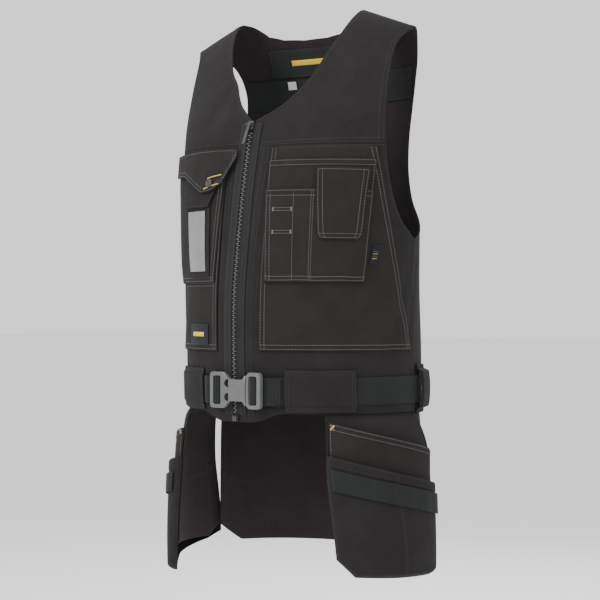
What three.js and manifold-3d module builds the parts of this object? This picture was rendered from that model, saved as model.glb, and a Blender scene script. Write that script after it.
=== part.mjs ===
// A utility work vest: zipped canvas body, chest pockets, buckled belt and hanging holster pockets.
// Millimetres, +Z up. Height 0 is the high point of the shoulders, the front faces -Y,
// and the wearer's left is +X. The vest hangs from the middle of its shoulders at the origin.
import * as THREE from 'three';
import { mergeVertices } from 'three/addons/utils/BufferGeometryUtils.js';
import Module from 'manifold-3d';

// Body
const BODY_LENGTH = 562;
const CHEST_HALF_WIDTH = 196;
const FRONT_DEPTH = 153;
const BACK_DEPTH = 146;
const NECK_HALF_WIDTH = 109;
const SHOULDER_HALF_WIDTH = 196;
const SHOULDER_DROP = 32;
const SHOULDER_SEAM_ANGLE = 80;
const SHOULDER_TIP = 0.992;
const FRONT_NECK_DROP = 157;
const BACK_NECK_DROP = 26;
const CHEST_SEAM_DROP = 194;
const BACK_SEAM_DROP = 130;
const ARMHOLE_DROP = 322;
const CLOSING_DROP = 220;
const SIDE_SEAM_TURN = 97;
const HEM_DIP = 13;
const HEM_DIP_HALF_WIDTH = 25;
const HEM_RISE = 50;

// Cloth and clearances
const SHELL = 2;
const POCKET_CLOTH = 1.6;
const TRIM = 1;
const SEAM_GAP = 0.3;
const LAYER_GAP = 0.7;
const SEAM_ANGLE_GAP = 0.5;

// Zip
const ZIP_HALF_GAP = 4;
const CHAIN_HALF_WIDTH = 3.4;
const CHAIN_DEPTH = 3.4;
const TAPE_WIDTH = 14;
const SLIDER_WIDTH = 9;
const SLIDER_HEIGHT = 13;
const SLIDER_DEPTH = 3.6;
const EAR_THICKNESS = 1.4;
const EAR_HEIGHT = 5;
const PIN_RADIUS = 0.8;
const PULL_LENGTH = 31;
const PULL_WIDTH = 5;
const PULL_THICKNESS = 1.6;
const PULL_REST_TILT = -8;
const END_BOX_HEIGHT = 9;
const ZIP_TOP_GAP = 2;
const ZIP_BOTTOM_GAP = 1;
const TAPE_TOP_GAP = 3;

// Belt
const BELT_ABOVE_HEM = 31;
const WEBBING_WIDTH = 38;
const WEBBING = 1.8;
const BELT_SHIFT = 7;
const BUCKLE_HALF_LENGTH = 44;
const BUCKLE_HALF_HEIGHT = 25;
const BUCKLE_DEPTH = 9;
const BUCKLE_LIFT = 6;
const TUNNEL_HEIGHT = 58;
const TUNNEL_START = 70;
const TUNNEL_LENGTH = 96;
const LOOP_HEIGHT = 56;
const LOOP_TURN = 100;
const LOOP_SPAN = 13;
const LOOP_LIFT = 11;
const LOOP_CLOTH = 3;

// The webbing: where it is held, where it leaves the buckle, and its sections along the belt,
// in shares of the buckle's half length and of the way to the side loop
const WEBBING_HOLD = 0.75;
const WEBBING_SEAT = 0.95;
const WEBBING_CLEAR = 1.13;
const WEBBING_END = 0.7;
const WEBBING_REST = [0.1, 0.2, 0.3, 0.4, 0.5, 0.6, 0.7, 0.8, 0.9, 1];

// The buckle's outline, in shares of its half length and half height, and its bars and windows
const BUCKLE_JOINT = 0.44;
const BUCKLE_WAIST = 0.68;
const BUCKLE_CHEEK = 0.18;
const BUCKLE_LIP = 0.12;
const BUCKLE_BAR = 6;
const BUCKLE_SLOT = 9;
const BUCKLE_CORNER = 5;
const WINDOW_ALONG = -0.27;
const WINDOW_UP = 0.34;
const WINDOW_RADIUS = 5;

// Holsters and rear panel, which hang from the hem
const HEM_TUCK = 15;
const SKIRT_LENGTH = 205;
const HOLSTER_FULLNESS = 6.5;
const POUCH_FULLNESS = 5.5;
const STRIP_WIDTH = 34;
const REAR_SEAM_DOWN = 0.59;
const REAR_FULLNESS = 6;
const REAR_POCKET_RISE = 3;
const POUCH_FOLD = 0.02;

const LEFT = 1;
const RIGHT = -1;
const DEGREE = Math.PI / 180;
const BACK_TURN = 180;
const FULL_TURN = 360;
const TOP_ANGLE = 90;
const TIP_ANGLE = 92;

// Cross-sections of the body. drop is a share of BODY_LENGTH, width of CHEST_HALF_WIDTH,
// front of FRONT_DEPTH and back of BACK_DEPTH. square is the power of the rounded outline.
const SECTIONS = [
  { drop: -0.04, width: 1.020, front: 0.538, back: 0.582, square: 2.30 },
  { drop: 0.089, width: 1.010, front: 0.577, back: 0.603, square: 2.30 },
  { drop: 0.178, width: 1.000, front: 0.647, back: 0.603, square: 2.30 },
  { drop: 0.279, width: 0.990, front: 0.750, back: 0.596, square: 2.30 },
  { drop: 0.391, width: 0.975, front: 0.827, back: 0.637, square: 2.25 },
  { drop: 0.477, width: 0.949, front: 0.885, back: 0.710, square: 2.15 },
  { drop: 0.600, width: 0.923, front: 0.949, back: 0.840, square: 2.05 },
  { drop: 0.712, width: 0.908, front: 0.994, back: 0.932, square: 2.00 },
  { drop: 0.847, width: 0.903, front: 1.000, back: 1.000, square: 2.00 },
  { drop: 0.947, width: 0.903, front: 0.987, back: 1.000, square: 2.00 },
  { drop: 1.068, width: 0.903, front: 0.962, back: 0.990, square: 2.00 },
  { drop: 1.450, width: 0.903, front: 0.949, back: 0.973, square: 2.00 },
];

// Soft folds of the body cloth. Each runs from one place to another: face is the direction in
// degrees from the centre front, drop a share of BODY_LENGTH, width and depth in shares of SHELL.
const FOLDS = [
  { face: 24, drop: 0.20, toFace: 38, toDrop: 0.32, width: 7, depth: -1.3 },
  { face: 52, drop: 0.14, toFace: 56, toDrop: 0.31, width: 8, depth: 1.4 },
  { face: -30, drop: 0.12, toFace: -42, toDrop: 0.29, width: 8, depth: -1.3 },
  { face: 148, drop: 0.30, toFace: 168, toDrop: 0.62, width: 11, depth: -1.6 },
  { face: 205, drop: 0.26, toFace: 190, toDrop: 0.66, width: 12, depth: -1.8 },
  { face: 118, drop: 0.64, toFace: 134, toDrop: 0.86, width: 10, depth: -1.5 },
  { face: 236, drop: 0.62, toFace: 222, toDrop: 0.87, width: 10, depth: -1.5 },
];

// Edges of the body. across is a share of the shoulder or neck half width, down a share of the
// drop that the edge ends at, and turn a share of the way round to the next fixed line.
const NECK_EDGE = [
  { down: 0.924, left: 0.27, right: 0.16 },
  { down: 0.815, left: 0.48, right: 0.33 },
  { down: 0.656, left: 0.67, right: 0.50 },
  { down: 0.459, left: 0.79, right: 0.70 },
  { down: 0.217, left: 0.93, right: 0.86 },
  { down: 0.076, left: 0.99, right: 0.92 },
];
const YOKE_ARMHOLE = [
  { down: 1.000, across: 0.920 },
  { down: 0.835, across: 0.917 },
  { down: 0.690, across: 0.913 },
  { down: 0.520, across: 0.908 },
  { down: 0.345, across: 0.911 },
  { down: 0.258, across: 0.926 },
  { down: 0.205, across: 0.960 },
];
const BACK_YOKE_ARMHOLE = [
  { down: 1.000, across: 0.776 },
  { down: 0.746, across: 0.840 },
  { down: 0.546, across: 0.903 },
  { down: 0.354, across: 0.954 },
  { down: 0.275, across: 0.980 },
];
const FRONT_ARMHOLE = [
  { down: 1.000, turn: 1.000 },
  { down: 0.945, turn: 0.940 },
  { down: 0.830, turn: 0.870 },
  { down: 0.640, turn: 0.808 },
  { down: 0.430, turn: 0.761 },
  { down: 0.200, turn: 0.722 },
  { down: 0.000, turn: 0.703 },
];
const BACK_ARMHOLE = [
  { down: 1.000, turn: 0.000 },
  { down: 0.964, turn: 0.110 },
  { down: 0.875, turn: 0.253 },
  { down: 0.755, turn: 0.398 },
  { down: 0.620, turn: 0.467 },
  { down: 0.443, turn: 0.499 },
  { down: 0.224, turn: 0.478 },
  { down: 0.000, turn: 0.413 },
];

// Places along the back neck edge, in shares of NECK_HALF_WIDTH.
const BACK_NECK_STOPS = [0.975, 0.87, 0.65, 0.35];

// Trims inside the back yoke: half widths in shares of SHOULDER_HALF_WIDTH, at the top and the
// bottom edge, and drops in shares of BACK_SEAM_DROP. layer counts the cloths from the yoke.
const NECK_PATCH = { wide: [0.517, 0.530], top: 0.245, bottom: 0.555, layer: 1.4 };
const BACK_BAND = { wide: [0.850, 0.780], top: 0.585, bottom: 0.925, layer: 1 };
const SIZE_LABEL = { from: -0.408, to: -0.337, top: 0.600, bottom: 0.692, layer: 2 };

// Pieces sewn on the front. inner and outer are shares of the way from the centre front to the
// side seam, at the top and at the bottom edge. top and bottom are shares of BODY_LENGTH. layer
// counts the cloths below, full is the slack in the middle, and over names fuller cloths below.
const SEWN = [
  { name: 'patch_pocket_left', side: LEFT, look: 'patch', layer: 0, full: 0, over: [],
    inner: [0.150, 0.146], outer: [0.700, 0.975], top: 0.350, bottom: 0.848, columns: 13, rows: 10 },
  { name: 'patch_pocket_right', side: RIGHT, look: 'patch', layer: 0, full: 0, over: [],
    inner: [0.130, 0.113], outer: [0.700, 0.975], top: 0.350, bottom: 0.850, columns: 13, rows: 10 },
  { name: 'tool_pocket_left', side: LEFT, look: 'canvas', layer: 1, full: 1.6, over: [],
    inner: [0.150, 0.175], outer: [0.702, 0.665], top: 0.383, bottom: 0.684, columns: 9, rows: 6 },
  { name: 'pen_pocket_left', side: LEFT, look: 'canvas', layer: 2, full: 1.2,
    over: ['tool_pocket_left'],
    inner: [0.153, 0.177], outer: [0.695, 0.663], top: 0.457, bottom: 0.681, columns: 9, rows: 4 },
  { name: 'phone_flap_left', side: LEFT, look: 'canvas', layer: 3, full: 1,
    over: ['tool_pocket_left', 'pen_pocket_left'],
    inner: [0.415, 0.432], outer: [0.668, 0.640], top: 0.405, bottom: 0.579, columns: 6, rows: 6 },
  { name: 'pocket_tag_left', side: LEFT, look: 'label', layer: 1, full: 0, over: [],
    inner: [0.706, 0.686], outer: [0.752, 0.728], top: 0.590, bottom: 0.638, columns: 1, rows: 2 },
  { name: 'chest_pocket_right', side: RIGHT, look: 'canvas', layer: 1, full: 5, over: [],
    inner: [0.125, 0.140], outer: [0.655, 0.645], top: 0.365, bottom: 0.682, columns: 10, rows: 7 },
  { name: 'badge_holder_right', side: RIGHT, look: 'patch', layer: 2, full: 0,
    over: ['chest_pocket_right'],
    inner: [0.195, 0.165], outer: [0.395, 0.345], top: 0.486, bottom: 0.668, columns: 4, rows: 4 },
  { name: 'badge_window_right', side: RIGHT, look: 'clear', layer: 3, full: 0,
    over: ['chest_pocket_right'],
    inner: [0.222, 0.190], outer: [0.372, 0.325], top: 0.504, bottom: 0.655, columns: 3, rows: 4 },
  { name: 'badge_cover_right', side: RIGHT, look: 'canvas', layer: 3, full: 0,
    over: ['chest_pocket_right'],
    inner: [0.155, 0.200], outer: [0.415, 0.410], top: 0.442, bottom: 0.496, columns: 5, rows: 3 },
  { name: 'label_right', side: RIGHT, look: 'label', layer: 1, full: 0, over: [],
    inner: [0.178, 0.178], outer: [0.362, 0.362], top: 0.784, bottom: 0.837, columns: 3, rows: 2 },
  { name: 'webbing_tab_right', side: RIGHT, look: 'webbing', layer: 1, full: 0, over: [],
    inner: [0.662, 0.662], outer: [0.710, 0.710], top: 0.627, bottom: 0.670, columns: 1, rows: 1 },
];

// The pointed flap of the right chest pocket: its lower edge and its layer, by share across.
const FLAP_TOP = 0.352;
const FLAP_RIGHT = [
  { across: 0.052, bottom: 0.372, layer: 2.3 },
  { across: 0.125, bottom: 0.438, layer: 3.7 },
  { across: 0.180, bottom: 0.458, layer: 4.6 },
  { across: 0.245, bottom: 0.462, layer: 4.6 },
  { across: 0.320, bottom: 0.440, layer: 4.6 },
  { across: 0.420, bottom: 0.415, layer: 4.0 },
  { across: 0.530, bottom: 0.411, layer: 2.6 },
  { across: 0.640, bottom: 0.408, layer: 2.3 },
];
const SNAP_PLACE = { across: 0.190, drop: 0.438 };
const SNAP_RADIUS = 6;
const SNAP_HEIGHT = 2;

// How a holster hangs from the hem. down is a share of SKIRT_LENGTH below the hem. The turns are
// its front and rear edges, and the lifts stand it off the line of the body, in shares of SHELL.
const HOLSTER_HANG = [
  { down: -0.08, front: 43.0, rear: 96.0, frontLift: -1.3, rearLift: -1.3 },
  { down: 0.005, front: 43.0, rear: 96.5, frontLift: -1.3, rearLift: -1.3 },
  { down: 0.070, front: 43.2, rear: 98.0, frontLift: 1.8, rearLift: 4.5 },
  { down: 0.245, front: 43.4, rear: 100.0, frontLift: 4.2, rearLift: 11.0 },
  { down: 0.430, front: 43.6, rear: 100.5, frontLift: 5.8, rearLift: 12.0 },
  { down: 0.675, front: 45.5, rear: 103.0, frontLift: 7.2, rearLift: 12.0 },
  { down: 0.910, front: 47.3, rear: 105.0, frontLift: 8.0, rearLift: 12.0 },
  { down: 1.120, front: 48.0, rear: 105.0, frontLift: 8.0, rearLift: 12.0 },
];

// Edges of the holster pieces, by percent across from front to rear edge and share down.
const BACKING_BOTTOM = [[0, 0.915], [12, 0.985], [50, 0.995], [85, 1.0], [100, 0.895]];
const POUCH_BOTTOM = [[0, 0.915], [14, 1.035], [50, 1.065], [85, 1.09], [100, 1.085]];
const HOLSTER_MOUTH = { front: 0.083, rear: 0.327 };
const POUCH_MOUTH = { front: 0.27, rear: 0.49 };
const STRIP_TOP = { front: 0.355, rear: 0.515 };
const HOLSTER_BOTTOM_DOWN = 0.86;
const HOLSTER_INSET = 2.5;
const POUCH_COLUMNS = [0, 3, 10, 22, 36, 50, 64, 78, 90, 97, 100];

// The rear panel and its pocket, by turn and share down.
const REAR_TURN = 98.5;
const REAR_CHAMFER_TURN = 113;
const REAR_CORNER_DOWN = 0.905;
const REAR_BOTTOM_DOWN = 1.015;
const REAR_POCKET_TURN = 115;
const REAR_LIFTS = [
  { down: -0.08, lift: -1.3 },
  { down: 0.005, lift: -1.3 },
  { down: 0.080, lift: -0.6 },
  { down: 0.300, lift: 0.2 },
  { down: 1.100, lift: 1.0 },
];

const wasm = await Module();
wasm.setup();

const vest = new THREE.Group();
const looks = {
  canvas: new THREE.MeshStandardMaterial({ color: 0x2b2a29, roughness: 0.9 }),
  patch: new THREE.MeshStandardMaterial({ color: 0x322d2c, roughness: 0.9 }),
  lining: new THREE.MeshStandardMaterial({ color: 0x2a2428, roughness: 0.9 }),
  webbing: new THREE.MeshStandardMaterial({ color: 0x2c302e, roughness: 0.8 }),
  label: new THREE.MeshStandardMaterial({ color: 0x1c2230, roughness: 0.7 }),
  clear: new THREE.MeshStandardMaterial({ color: 0xd8dadb, roughness: 0.2 }),
  plastic: new THREE.MeshStandardMaterial({ color: 0x8d8e8f, roughness: 0.45 }),
  metal: new THREE.MeshStandardMaterial({ color: 0x55575a, roughness: 0.35, metalness: 0.9 }),
};

// Interpolation
function lerp(a, b, t) {
  return a + (b - a) * t;
}

function smoothstep(t) {
  const s = Math.min(1, Math.max(0, t));
  return s * s * (3 - 2 * s);
}

// Smooth value of one column of a table, read at a value of its first column.
function column(table, key, name, at) {
  const last = table.length - 1;
  const slope = (i) => {
    const low = table[Math.max(0, i - 1)];
    const high = table[Math.min(last, i + 1)];
    return (high[name] - low[name]) / (high[key] - low[key]);
  };
  const clamped = Math.min(table[last][key], Math.max(table[0][key], at));
  let i = 0;
  while (i < last - 1 && clamped > table[i + 1][key]) i += 1;
  const span = table[i + 1][key] - table[i][key];
  const t = (clamped - table[i][key]) / span;
  const t2 = t * t;
  const t3 = t2 * t;
  return (2 * t3 - 3 * t2 + 1) * table[i][name] + (t3 - 2 * t2 + t) * span * slope(i)
    + (3 * t2 - 2 * t3) * table[i + 1][name] + (t3 - t2) * span * slope(i + 1);
}

// A straight-sided path through points, each stretch taking an equal share of the way.
function path(points) {
  const stretches = points.length - 1;
  return (t) => {
    const at = Math.min(stretches - 1, Math.floor(t * stretches + 1e-9));
    const share = t * stretches - at;
    return [0, 1].map((k) => lerp(points[at][k], points[at + 1][k], share));
  };
}

// A smooth path through points.
function bend(points) {
  const line = new THREE.CatmullRomCurve3(points.map(([a, b]) => new THREE.Vector3(a, b, 0)));
  return (t) => {
    const p = line.getPoint(Math.min(1, Math.max(0, t)));
    return [p.x, p.y];
  };
}

// Several paths end to end, each given its share of the way.
function chain(paths, shares) {
  return (t) => {
    let start = 0;
    for (let i = 0; i < paths.length; i += 1) {
      if (t <= start + shares[i] + 1e-9 || i === paths.length - 1) {
        return paths[i]((t - start) / shares[i]);
      }
      start += shares[i];
    }
    return paths[0](0);
  };
}

// A patch stretched between four edge paths, as a function of two shares.
function patch(bottom, top, inner, outer) {
  const corners = [bottom(0), bottom(1), top(0), top(1)];
  return (u, v) => [0, 1].map((k) => {
    const ends = lerp(bottom(u)[k], top(u)[k], v) + lerp(inner(v)[k], outer(v)[k], u);
    const low = lerp(corners[0][k], corners[1][k], u);
    const high = lerp(corners[2][k], corners[3][k], u);
    return ends - lerp(low, high, v);
  });
}

// The body as a surface
function sectionAt(z) {
  const drop = -z / BODY_LENGTH;
  return {
    width: column(SECTIONS, 'drop', 'width', drop) * CHEST_HALF_WIDTH,
    front: column(SECTIONS, 'drop', 'front', drop) * FRONT_DEPTH,
    back: column(SECTIONS, 'drop', 'back', drop) * BACK_DEPTH,
    square: column(SECTIONS, 'drop', 'square', drop),
  };
}

function ridge(x) {
  const slope = SHOULDER_DROP / (SHOULDER_HALF_WIDTH - NECK_HALF_WIDTH);
  return slope * (NECK_HALF_WIDTH - Math.abs(x));
}

function foldDepth(x, y, z) {
  const face = (Math.atan2(x, -y) / DEGREE + FULL_TURN) % FULL_TURN;
  const reach = Math.hypot(x, y) * DEGREE;
  let depth = 0;
  for (const fold of FOLDS) {
    const from = (fold.face + FULL_TURN) % FULL_TURN;
    const turn = fold.toFace - fold.face;
    const away = ((face - from + FULL_TURN + BACK_TURN) % FULL_TURN) - BACK_TURN;
    const run = new THREE.Vector2(turn * reach, (fold.drop - fold.toDrop) * BODY_LENGTH);
    const here = new THREE.Vector2(away * reach, z + fold.drop * BODY_LENGTH);
    const along = here.dot(run) / run.lengthSq();
    const aside = Math.abs(here.cross(run)) / run.length() / (fold.width * SHELL);
    const ends = smoothstep(along * 3 + 0.5) * smoothstep(3.5 - along * 3);
    depth += fold.depth * SHELL * ends * Math.exp(-aside * aside);
  }
  return depth;
}

function folded(x, y, z) {
  const depth = foldDepth(x, y, z);
  const reach = Math.hypot(x, y);
  return new THREE.Vector3(x + (depth * x) / reach, y + (depth * y) / reach, z);
}

// A point by its turn from the centre front in degrees, and its height.
function onBody(turn, z) {
  const section = sectionAt(z);
  const sine = Math.sin(turn * DEGREE);
  const cosine = Math.cos(turn * DEGREE);
  const power = 2 / section.square;
  const x = section.width * Math.sign(sine) * Math.abs(sine) ** power;
  const rise = (z + CLOSING_DROP) / (ridge(x) + CLOSING_DROP);
  const closing = rise > 0 ? Math.sqrt(Math.max(0, 1 - rise * rise)) : 1;
  const depth = cosine >= 0 ? section.front : section.back;
  return folded(x, -Math.sign(cosine) * depth * Math.abs(cosine) ** power * closing, z);
}

// A point of the shoulders by its place across, and the angle over the shoulder from front to back.
function onShoulder(x, angle) {
  const turn = angle * DEGREE;
  const swing = Math.sin(Math.min(Math.PI, Math.max(0, turn)));
  const below = Math.min(0, turn) + Math.min(0, Math.PI - turn);
  const z = (ridge(x) + CLOSING_DROP) * (swing + below) - CLOSING_DROP;
  const section = sectionAt(z);
  const power = section.square;
  const edge = (1 - Math.min(1, Math.abs(x) / section.width) ** power) ** (1 / power);
  const cosine = Math.cos(Math.min(Math.PI, Math.max(0, turn)));
  const depth = cosine >= 0 ? section.front : section.back;
  return folded(x, -depth * edge * cosine, z);
}

// The angle over the shoulder at which the front or back cloth is at a height.
function shoulderAngle(x, z, behind) {
  const rise = (z + CLOSING_DROP) / (ridge(x) + CLOSING_DROP);
  const angle = (rise < 0 ? rise : Math.asin(Math.min(1, rise))) / DEGREE;
  return behind ? BACK_TURN - angle : angle;
}

// The cloth's outward direction, from two small steps on a surface.
function outward(surface, a, b) {
  const stepA = 0.2;
  const stepB = 0.5;
  const across = surface(a + stepA, b).sub(surface(a - stepA, b));
  const along = surface(a, b + stepB).sub(surface(a, b - stepB));
  const normal = across.cross(along).normalize();
  const here = surface(a, b);
  const middle = new THREE.Vector3(0, 0, Math.min(here.z, -CLOSING_DROP));
  return normal.dot(here.clone().sub(middle)) < 0 ? normal.negate() : normal;
}

function raised(surface, a, b, lift) {
  return surface(a, b).addScaledVector(outward(surface, a, b), lift);
}

// Length of the cloth from the centre front to a turn, at one height, without folds.
const ARC_STEPS = 90;
const arcs = new Map();
function arcTable(z) {
  const key = z.toFixed(2);
  if (!arcs.has(key)) {
    const section = sectionAt(z);
    const power = 2 / section.square;
    const lengths = [0];
    let last = new THREE.Vector2(0, -section.front);
    for (let i = 1; i <= ARC_STEPS; i += 1) {
      const turn = (i / ARC_STEPS) * Math.PI;
      const cosine = Math.cos(turn);
      const depth = cosine >= 0 ? section.front : section.back;
      const x = section.width * Math.sin(turn) ** power;
      const next = new THREE.Vector2(x, -Math.sign(cosine) * depth * Math.abs(cosine) ** power);
      lengths.push(lengths[i - 1] + next.distanceTo(last));
      last = next;
    }
    arcs.set(key, lengths);
  }
  return arcs.get(key);
}

function turnAt(length, z) {
  const lengths = arcTable(z);
  const want = Math.abs(length);
  let i = 0;
  while (i < ARC_STEPS - 1 && lengths[i + 1] < want) i += 1;
  const share = (want - lengths[i]) / (lengths[i + 1] - lengths[i]);
  return Math.sign(length) * ((i + share) / ARC_STEPS) * BACK_TURN;
}

function arcTo(turn, z) {
  const lengths = arcTable(z);
  const at = Math.min(ARC_STEPS - 1e-6, (Math.abs(turn) / BACK_TURN) * ARC_STEPS);
  const i = Math.floor(at);
  return lerp(lengths[i], lengths[i + 1], at - i);
}

// A point by its length of cloth from the centre front and its height.
function onCloth(length, z) {
  return onBody(turnAt(length, z), z);
}

// A point by its share of the way from the centre front to the side seam.
function onFront(share, z) {
  return onCloth(share * arcTo(SIDE_SEAM_TURN, z), z);
}

// Solids
function add(name, look, geometry) {
  geometry.deleteAttribute('normal');
  geometry.deleteAttribute('uv');
  const solid = mergeVertices(geometry, 1e-4);
  solid.computeVertexNormals();
  const mesh = new THREE.Mesh(solid, looks[look]);
  mesh.name = name;
  vest.add(mesh);
}

function gridNormal(points, columns, rows, i, j) {
  const at = (a, b) => points[b * (columns + 1) + a];
  const across = at(Math.min(columns, i + 1), j).clone().sub(at(Math.max(0, i - 1), j));
  const along = at(i, Math.min(rows, j + 1)).clone().sub(at(i, Math.max(0, j - 1)));
  return across.cross(along).normalize();
}

function signedVolume(vertices, faces) {
  return faces.reduce((sum, [a, b, c]) => {
    const area = new THREE.Vector3().crossVectors(vertices[b], vertices[c]);
    return sum + vertices[a].dot(area);
  }, 0);
}

function asSolid(geometry) {
  geometry.deleteAttribute('normal');
  geometry.deleteAttribute('uv');
  const merged = mergeVertices(geometry, 1e-4);
  const vertProperties = Float32Array.from(merged.attributes.position.array);
  const triVerts = Uint32Array.from(merged.index.array);
  return new wasm.Manifold(new wasm.Mesh({ numProp: 3, vertProperties, triVerts }));
}

function join(geometries) {
  const whole = geometries.map(asSolid).reduce((all, next) => all.add(next));
  const mesh = whole.getMesh();
  const geometry = new THREE.BufferGeometry();
  geometry.setAttribute('position', new THREE.Float32BufferAttribute(mesh.vertProperties, 3));
  geometry.setIndex(Array.from(mesh.triVerts));
  return geometry;
}

// A sheet of cloth: the middle surface as a function of two shares, given thickness and edges.
function sheet(middle, columns, rows, thickness) {
  const points = [];
  for (let j = 0; j <= rows; j += 1) {
    for (let i = 0; i <= columns; i += 1) points.push(middle(i / columns, j / rows));
  }
  const vertices = [];
  for (const side of [0.5, -0.5]) {
    for (let j = 0; j <= rows; j += 1) {
      for (let i = 0; i <= columns; i += 1) {
        const normal = gridNormal(points, columns, rows, i, j);
        const point = points[j * (columns + 1) + i].clone();
        vertices.push(point.addScaledVector(normal, side * thickness));
      }
    }
  }
  const under = points.length;
  const index = (i, j) => j * (columns + 1) + i;
  const faces = [];
  const quad = (a, b, c, d) => faces.push([a, b, c], [a, c, d]);
  for (let j = 0; j < rows; j += 1) {
    for (let i = 0; i < columns; i += 1) {
      const corners = [index(i, j), index(i + 1, j), index(i + 1, j + 1), index(i, j + 1)];
      quad(...corners);
      quad(...corners.map((k) => k + under).reverse());
    }
  }
  const wall = (a, b) => quad(b, a, a + under, b + under);
  for (let i = 0; i < columns; i += 1) {
    wall(index(i, 0), index(i + 1, 0));
    wall(index(i + 1, rows), index(i, rows));
  }
  for (let j = 0; j < rows; j += 1) {
    wall(index(columns, j), index(columns, j + 1));
    wall(index(0, j + 1), index(0, j));
  }
  if (signedVolume(vertices, faces) < 0) faces.forEach((face) => face.reverse());
  const geometry = new THREE.BufferGeometry();
  geometry.setAttribute('position', new THREE.Float32BufferAttribute(
    vertices.flatMap((p) => [p.x, p.y, p.z]), 3));
  geometry.setIndex(faces.flat());
  return geometry;
}

// A cloth on a surface: outline gives its places, lift its height off the surface's inner side.
function cloth(name, look, surface, outline, lift, thickness, columns, rows) {
  const middle = (u, v) => {
    const [a, b] = outline(u, v);
    return raised(surface, a, b, lift(u, v) + thickness / 2);
  };
  add(name, look, sheet(middle, columns, rows, thickness));
}

const level = (height) => () => height;

function layerLift(layer) {
  return SHELL + LAYER_GAP + layer * (POCKET_CLOTH + LAYER_GAP);
}

// Slack that is full in the middle of a sewn piece and nothing along its edges.
function slackAt(row, across, drop) {
  const down = (drop - row.top) / (row.bottom - row.top);
  const inner = lerp(row.inner[0], row.inner[1], down);
  const outer = lerp(row.outer[0], row.outer[1], down);
  const u = Math.min(1, Math.max(0, (across - inner) / (outer - inner)));
  const v = Math.min(1, Math.max(0, down));
  return row.full * (1 - (2 * u - 1) ** 4) * (1 - (2 * v - 1) ** 4);
}

function slackBelow(names, across, drop) {
  const rows = SEWN.filter((row) => names.includes(row.name));
  return rows.reduce((sum, row) => sum + slackAt(row, across, drop), 0);
}

function sewn(row) {
  const outline = (u, v) => {
    const inner = lerp(row.inner[1], row.inner[0], v);
    const outer = lerp(row.outer[1], row.outer[0], v);
    return [row.side * lerp(inner, outer, u), -lerp(row.bottom, row.top, v) * BODY_LENGTH];
  };
  const lift = (u, v) => {
    const [across, z] = outline(u, v);
    const drop = -z / BODY_LENGTH;
    const place = Math.abs(across);
    return layerLift(row.layer) + slackAt(row, place, drop) + slackBelow(row.over, place, drop);
  };
  const thickness = row.look === 'canvas' || row.look === 'patch' ? POCKET_CLOTH : TRIM;
  cloth(row.name, row.look, onFront, outline, lift, thickness, row.columns, row.rows);
}

function flapLift(across, drop) {
  const layer = column(FLAP_RIGHT, 'across', 'layer', across);
  return layerLift(layer) + slackBelow(['chest_pocket_right'], across, drop);
}

function rightFlap() {
  const places = path(FLAP_RIGHT.map((row) => [row.across, row.bottom]));
  const outline = (u, v) => {
    const [across, bottom] = places(u);
    return [RIGHT * across, -lerp(bottom, FLAP_TOP, v) * BODY_LENGTH];
  };
  const lift = (u, v) => {
    const [across, z] = outline(u, v);
    return flapLift(-across, -z / BODY_LENGTH);
  };
  cloth('flap_right', 'canvas', onFront, outline, lift, POCKET_CLOTH, FLAP_RIGHT.length - 1, 4);
  const { across, drop } = SNAP_PLACE;
  const z = -drop * BODY_LENGTH;
  const height = flapLift(across, drop) + POCKET_CLOTH + LAYER_GAP + SNAP_HEIGHT / 2;
  const stud = new THREE.CylinderGeometry(SNAP_RADIUS, SNAP_RADIUS, SNAP_HEIGHT, 16);
  const up = new THREE.Vector3(0, 1, 0);
  const normal = outward(onFront, RIGHT * across, z);
  stud.applyQuaternion(new THREE.Quaternion().setFromUnitVectors(up, normal));
  const place = raised(onFront, RIGHT * across, z, height);
  stud.translate(place.x, place.y, place.z);
  add('flap_snap_right', 'metal', stud);
}

// Front
function hemDrop(length) {
  const rise = smoothstep((Math.abs(length) - HEM_DIP_HALF_WIDTH) / HEM_RISE);
  return -BODY_LENGTH - HEM_DIP * (1 - rise);
}

function frontPanel(name, side) {
  const half = SEAM_GAP / 2;
  const chest = -CHEST_SEAM_DROP - half;
  const seamTurn = SIDE_SEAM_TURN - half / CHEST_HALF_WIDTH / DEGREE;
  const depth = ARMHOLE_DROP - CHEST_SEAM_DROP;
  const zipTurn = (z) => turnAt(ZIP_HALF_GAP, z);
  const armhole = FRONT_ARMHOLE.map(({ down, turn }) => [turn * seamTurn, chest - down * depth]);
  const bottom = (u) => {
    const turn = lerp(zipTurn(-BODY_LENGTH), seamTurn, u);
    return [turn, hemDrop(arcTo(turn, -BODY_LENGTH))];
  };
  const top = (u) => [lerp(zipTurn(chest), armhole.at(-1)[0], u), chest];
  const inner = (v) => {
    const z = lerp(bottom(0)[1], chest, v);
    return [zipTurn(z), z];
  };
  const seam = path([bottom(1), armhole[0]]);
  const outer = chain([seam, bend(armhole)], [0.5, 0.5]);
  const flat = patch(bottom, top, inner, outer);
  const outline = (u, v) => [side * flat(u, v)[0], flat(u, v)[1]];
  cloth(name, 'canvas', onBody, outline, level(0), SHELL, 15, 12);
}

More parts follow.
